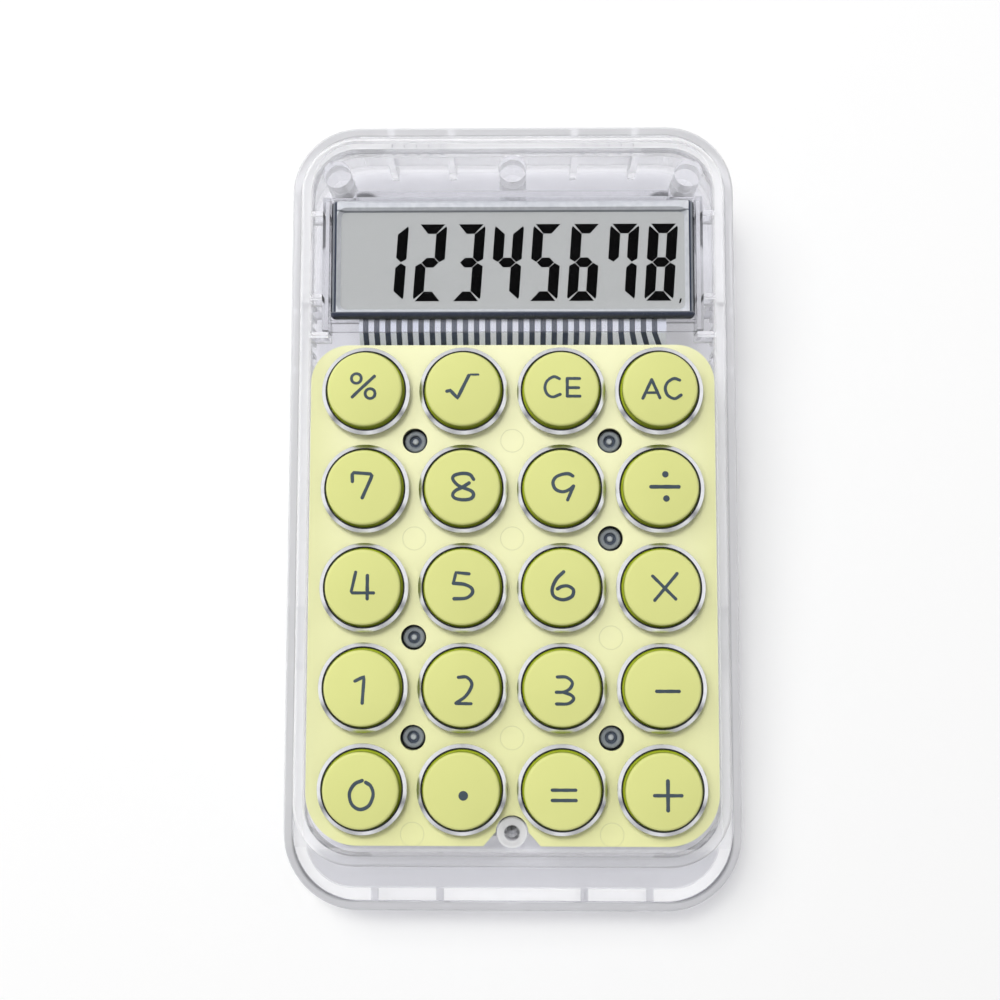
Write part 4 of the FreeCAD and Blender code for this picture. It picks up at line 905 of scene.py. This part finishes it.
def draw_skirt(shape):
    profile = [
        (SKIRT_INNER, SKIRT_UNDER),
        (SKIRT_INNER, SKIRT_TOP + SKIRT_EDGE),
        (SKIRT_RADIUS - SKIRT_EDGE, SKIRT_TOP),
        (SKIRT_RADIUS, SKIRT_TOP - SKIRT_EDGE),
        (SKIRT_RADIUS, SKIRT_UNDER),
    ]
    loops = add_loops(shape, profile, SKIRT_SIDES)
    for near, far in zip(loops, loops[1:] + loops[:1]):
        join_loops(shape, near, far)


for name in KEYS:
    add_piece("skirt_" + short_name(name), draw_skirt, KEY_PLASTIC, name, at_key(name, 0.0))


# Rubber mat: a flat sheet with a separate dome under each key
MAT_TOP = -7.8
SHEET_SKIN = 0.4
DOME_TOP = -4.95
DOME_SKIN = 0.8
DOME_FOOT = 5.6
DOME_CROWN = 3.0
CAVITY_FOOT = 3.78
CAVITY_CROWN = 2.2
DOME_SIDES = 48


def add_mat_sheet():
    """The mat with its domes pressed flat, inside and out."""
    mesh = NODES["rubber_keypad"].data.copy()
    mesh.name = "keypad_sheet"
    into_key_frame = KEY_FRAME.inverted()
    for vert in mesh.vertices:
        place = into_key_frame @ vert.co
        if place.z > DOME_TOP - DOME_SKIN / 2:
            place.z = MAT_TOP
        elif place.z > MAT_TOP:
            place.z = min(place.z, MAT_TOP - SHEET_SKIN)
        vert.co = KEY_FRAME @ place
    normals = mesh.attributes.get("custom_normal")
    if normals is not None:
        mesh.attributes.remove(normals)
    mesh.materials.clear()
    mesh.materials.append(SILICONE)
    piece = bpy.data.objects.new("keypad_sheet", mesh)
    bpy.context.collection.objects.link(piece)
    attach(piece, "case")
    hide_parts("rubber_keypad")


def draw_dome(shape):
    profile = [
        (CAVITY_CROWN, DOME_TOP - DOME_SKIN),
        (CAVITY_FOOT, MAT_TOP),
        (DOME_FOOT, MAT_TOP),
        (DOME_CROWN, DOME_TOP),
    ]
    loops = add_loops(shape, profile, DOME_SIDES)
    for near, far in zip(loops, loops[1:]):
        join_loops(shape, near, far)
    shape.faces.new(loops[-1])
    shape.faces.new(loops[0])


add_mat_sheet()
for name in KEYS:
    short = short_name(name)
    place = at_key(name, 0.0)
    dome = add_piece("dome_" + short, draw_dome, SILICONE, "case", place)
    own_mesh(dome)


# Display digits: slanted segments with mitred ends and thin gaps between them
DIGIT_WIDTH = 5.8
DIGIT_HEIGHT = 15.7
DIGIT_LOW = 57.15
DIGIT_SLANT = math.tan(math.radians(4.0))
DIGIT_PITCH = 7.7
FIRST_RIGHT = -20.75
STROKE_X = 2.15
STROKE_Y = 1.95
SEGMENT_GAP = 0.07
SEGMENT_CORNER = 0.35
SEGMENT_LOW = -0.05
SEGMENT_HIGH = 0.03
# The lit segments of the digits 1 to 8, and the comma after the last one
SHOWN = ["bc", "abged", "abgcd", "fgbc", "afgcd", "afgedc", "fabc", "abcdefg"]
COMMA = [(33.15, 56.6), (33.5, 56.7), (33.75, 57.6), (33.4, 57.6)]


def segment_outlines():
    """Corners of the seven segments in an upright cell."""
    w, h, sx, sy, gap, corner = DIGIT_WIDTH, DIGIT_HEIGHT, STROKE_X, STROKE_Y, SEGMENT_GAP, SEGMENT_CORNER
    middle = h / 2
    tip = sx / 2
    notch = sy / 2
    outer_drop, outer_cut = corner * 2.2, corner * 0.5
    mitre_gap, tip_gap, outer_notch = gap * 1.6, gap * 1.5, notch * 0.75
    top = [(gap + corner, h), (w - gap - corner, h), (w - sx + gap, h - sy), (sx - gap, h - sy)]
    upper_left = [
        (0.0, h - gap - outer_drop), (outer_cut, h - gap - corner), (sx - gap, h - sy - mitre_gap),
        (sx - gap, middle + notch + gap), (tip, middle + tip_gap), (0.0, middle + outer_notch),
    ]
    bar = [
        (tip + mitre_gap, middle), (sx, middle + notch), (w - sx, middle + notch),
        (w - tip - mitre_gap, middle), (w - sx, middle - notch), (sx, middle - notch),
    ]
    outlines = {"a": top, "f": upper_left, "g": bar}
    outlines["b"] = [(w - x, y) for x, y in upper_left]
    outlines["d"] = [(x, h - y) for x, y in top]
    outlines["e"] = [(x, h - y) for x, y in upper_left]
    outlines["c"] = [(w - x, h - y) for x, y in upper_left]
    return outlines


def draw_digits(shape):
    segments = segment_outlines()
    outlines = []
    for index, lit in enumerate(SHOWN):
        left = FIRST_RIGHT + DIGIT_PITCH * index - DIGIT_WIDTH - DIGIT_HEIGHT * DIGIT_SLANT
        for letter in lit:
            outlines.append([(left + x + y * DIGIT_SLANT, DIGIT_LOW + y) for x, y in segments[letter]])
    for outline in outlines + [COMMA]:
        add_prism(shape, outline, GLASS_TOP + SEGMENT_LOW, GLASS_TOP + SEGMENT_HIGH)


add_piece("display_digits", draw_digits, LCD_INK, "case")


# Ribbon conductors: dark stripes along the film from the display down to the board
STRIPE_COUNT = 27
STRIPE_PITCH = 2.213
STRIPE_WIDTH = 1.08
STRIPE_MIDDLE = -0.5
STRIPE_HIGH = 0.03
RIBBON_PROFILE = [(53.85, -4.9), (50.8, -4.9), (47.45, -8.25)]
BENT_STRIPES = 5
BEND = 0.35


def draw_stripes(shape):
    last = STRIPE_COUNT - 1
    for i in range(STRIPE_COUNT):
        x = STRIPE_MIDDLE + (i - last / 2) * STRIPE_PITCH
        bent = max(0, i - (last - BENT_STRIPES)) * BEND
        loops = []
        for y, z in RIBBON_PROFILE:
            shift = bent if (y, z) == RIBBON_PROFILE[-1] else 0.0
            low, high = x - STRIPE_WIDTH / 2 + shift, x + STRIPE_WIDTH / 2 + shift
            under, over = z - STRIPE_HIGH, z + STRIPE_HIGH
            corners = ((low, under), (low, over), (high, over), (high, under))
            loops.append([shape.verts.new((across, y, up)) for across, up in corners])
        shape.faces.new(loops[0])
        shape.faces.new(list(reversed(loops[-1])))
        for near, far in zip(loops, loops[1:]):
            join_loops(shape, near, far)


add_piece("ribbon_stripes", draw_stripes, STRIPE, "case")


# Panel screws: pan heads with a round recess and a pin in it, in place of the plain solids
HEAD_RADIUS = 2.15
HEAD_HEIGHT = 1.4
HEAD_EDGE = 0.45
HEAD_CROWN = 0.02
SHANK_RADIUS = 1.0
SHANK_LENGTH = 10.4
HEAD_RINGS = 22
HEAD_SIDES = 64
RECESS_DEPTH = 0.7
PIN_HEIGHT = 0.45
RECESS_SOFT = 0.2


def within(edge, reach):
    """A share that drops from 1 to 0 across a soft round edge."""
    return min(1.0, max(0.0, (edge + RECESS_SOFT / 2 - reach) / RECESS_SOFT))


def head_height(reach):
    """Height of a screw head above its seat, at a distance from its axis."""
    over = max(0.0, reach - (HEAD_RADIUS - HEAD_EDGE)) / HEAD_EDGE
    rounding = HEAD_EDGE * (1 - math.sqrt(max(0.0, 1 - over**2)))
    dome = HEAD_HEIGHT - rounding - HEAD_CROWN * reach**2
    return dome - RECESS_DEPTH * within(RECESS_EDGE, reach) + PIN_HEIGHT * within(PIN_EDGE, reach)


def add_screw(shape, centre_x, centre_y):
    turns = [math.tau * (side + 0.5) / HEAD_SIDES for side in range(HEAD_SIDES)]

    def vert(x, y, z):
        return shape.verts.new((centre_x + x, centre_y + y, SCREW_SEAT + z))

    reaches = [HEAD_RADIUS * ring / HEAD_RINGS for ring in range(1, HEAD_RINGS + 1)]
    profile = [(reach, head_height(reach)) for reach in reaches]
    profile += [(HEAD_RADIUS, 0.0), (SHANK_RADIUS, 0.0), (SHANK_RADIUS, -SHANK_LENGTH)]
    loops = [[vert(reach * math.cos(t), reach * math.sin(t), z) for t in turns] for reach, z in profile]
    for near, far in zip(loops, loops[1:]):
        join_loops(shape, near, far)
    middle = vert(0.0, 0.0, head_height(0.0))
    for a in range(HEAD_SIDES):
        shape.faces.new((middle, loops[0][(a + 1) % HEAD_SIDES], loops[0][a]))
    shape.faces.new(list(reversed(loops[-1])))


def draw_screws(shape):
    for across, along in SCREW_CROSSINGS:
        add_screw(shape, across * PITCH_X, along * PITCH_Y)


screws = add_piece("panel_screw_set", draw_screws, SCREW_STEEL, "case")
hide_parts("panel_screws")


# Floor, light and camera, in metres
FLOOR_HALF = 3.0
FLOOR_GREY = 0.9
FLOOR_GLOW = 0.1
# Painted light: the floor glows brighter where it is seen through the clear case, filling the shade under it
FLOOR_PAINTED_GLOW_THROUGH = 0.58
DAYLIGHT = 0.32
LID_DAYLIGHT = 0.92
CEILING = 0.03
CEILING_THROUGH = 0.06
CEILING_START = 0.8
CEILING_FULL = 0.92
# Grey levels of the studio in reflections, by share of a turn from the -X side through -Y
SURROUND = [
    (0.0, 1.0), (0.05, 1.0), (0.083, 0.22), (0.12, 0.9), (0.2, 0.5), (0.25, 0.95), (0.3, 0.5),
    (0.38, 0.9), (0.417, 0.22), (0.45, 1.0), (0.6, 0.95), (0.75, 0.7), (0.9, 0.95), (1.0, 1.0),
]
# The same for what is seen directly or through the clear case
SURROUND_THROUGH = [
    (0.0, 0.8), (0.12, 1.0), (0.25, 0.7), (0.38, 1.0), (0.5, 0.8), (0.62, 1.0), (0.88, 1.0), (1.0, 0.8),
]
# Each lamp: its name, place, size and power
LAMPS = [
    ("key_light", (-0.72, 0.61, 1.28), 1.0, 9.5),
    ("overhead_light", (-0.24, 0.42, 1.5), 0.5, 10.4),
]
# The camera's place and directions in the key frame, in mm, and its lens as a share of the sensor's width
CAMERA_PLACE = (1.7, -5.5, 250.9)
CAMERA_FORWARD = (-0.0161, 0.0891, -0.9959)
CAMERA_RIGHT = (0.9999, 0.0014, -0.016)
SENSOR_WIDTH = 36.0
LENS_SHARE = 1.3
CLIP_START = 0.01


def make_floor():
    mesh = bpy.data.meshes.new("floor")
    shape = bmesh.new()
    bmesh.ops.create_grid(shape, x_segments=1, y_segments=1, size=FLOOR_HALF)
    shape.to_mesh(mesh)
    shape.free()
    look = Look("floor")
    path = look.node("ShaderNodeLightPath").outputs
    # Painted light: extra glow of the floor as seen through the clear case
    through = look.span(path["Is Transmission Ray"], 0.0, FLOOR_PAINTED_GLOW_THROUGH)
    seen = look.span(path["Is Camera Ray"], 0.0, FLOOR_GLOW)
    look.set(Base_Color=grey(FLOOR_GREY), Specular_IOR_Level=0.0)
    look.set(Emission_Color=grey(1.0), Emission_Strength=look.number("MAXIMUM", through, seen))
    look.rough_noise(scale=20.0, low=0.85, high=0.95)
    mesh.materials.append(look.material)
    floor = bpy.data.objects.new("floor", mesh)
    bpy.context.collection.objects.link(floor)


class World(Look):
    """The studio's surround, with the same short ways as a material."""

    def __init__(self, name):
        self.world = bpy.data.worlds.new(name)
        self.world.use_nodes = True
        self.tree = self.world.node_tree
        self.shader = self.tree.nodes["Background"]
        self.output = self.tree.nodes["World Output"]
        self.coordinates = self.node("ShaderNodeTexCoord").outputs["Generated"]

    def backdrop(self, turn, levels, ceiling, ceiling_level):
        """Grey walls round the object under a darker ceiling."""
        walls = self.ramp(turn, [(place, grey(level)) for place, level in levels])
        background = self.node("ShaderNodeBackground")
        self.link(self.mixed(ceiling, walls, grey(ceiling_level)), background.inputs["Color"])
        return background.outputs["Background"]


def make_world():
    """Grey walls and a dark ceiling for what is seen or mirrored, and even daylight for what is lit, stronger
    under the clear lid."""
    look = World("studio")
    parts = look.node("ShaderNodeSeparateXYZ")
    look.link(look.coordinates, parts.inputs["Vector"])
    turn = look.number("ARCTAN2", parts.outputs["Y"], parts.outputs["X"])
    share = look.span(turn, 0.0, 1.0, -math.pi, math.pi)
    ceiling = look.span(parts.outputs["Z"], 0.0, 1.0, CEILING_START, CEILING_FULL)
    mirrored = look.backdrop(share, SURROUND, ceiling, CEILING)
    plain = look.backdrop(share, SURROUND_THROUGH, ceiling, CEILING_THROUGH)
    look.set(Strength=DAYLIGHT, Color=grey(1.0))
    under_lid = look.node("ShaderNodeBackground")
    under_lid.inputs["Strength"].default_value = LID_DAYLIGHT
    under_lid.inputs["Color"].default_value = grey(1.0)
    path = look.node("ShaderNodeLightPath").outputs
    seen = look.number("MAXIMUM", path["Is Camera Ray"], path["Is Transmission Ray"])
    through = look.shader_mix(path["Diffuse Depth"], plain, under_lid.outputs["Background"])
    mirror = look.shader_mix(path["Is Glossy Ray"], look.shader.outputs["Background"], mirrored)
    look.link(look.shader_mix(seen, mirror, through), look.output.inputs["Surface"])
    bpy.context.scene.world = look.world


def add_lamp(name, place, size, power):
    """A round lamp that shines at the object, and isn't seen in reflections or through the clear case."""
    lamp = bpy.data.lights.new(name, "AREA")
    lamp.shape = "DISK"
    lamp.size = size
    lamp.energy = power
    holder = bpy.data.objects.new(name, lamp)
    holder.location = place
    holder.rotation_euler = (Vector(ORIGIN) - Vector(place)).to_track_quat("-Z", "Y").to_euler()
    holder.visible_glossy = False
    holder.visible_transmission = False
    bpy.context.collection.objects.link(holder)


def make_camera():
    camera = bpy.data.cameras.new("camera")
    camera.sensor_width = SENSOR_WIDTH
    camera.lens = SENSOR_WIDTH * LENS_SHARE
    camera.clip_start = CLIP_START
    holder = bpy.data.objects.new("camera", camera)
    forward = Vector(CAMERA_FORWARD).normalized()
    right = Vector(CAMERA_RIGHT)
    right = (right - forward * right.dot(forward)).normalized()
    up = right.cross(forward)
    turn = Matrix((right, up, -forward)).transposed().to_4x4()
    place = KEY_FRAME @ Vector(CAMERA_PLACE)
    holder.matrix_world = Matrix.Translation(place) @ TILTED @ turn
    bpy.context.collection.objects.link(holder)
    bpy.context.scene.camera = holder


make_floor()
make_world()
make_camera()
for name, place, size, power in LAMPS:
    add_lamp(name, place, size, power)
bpy.context.scene.view_settings.view_transform = "Standard"
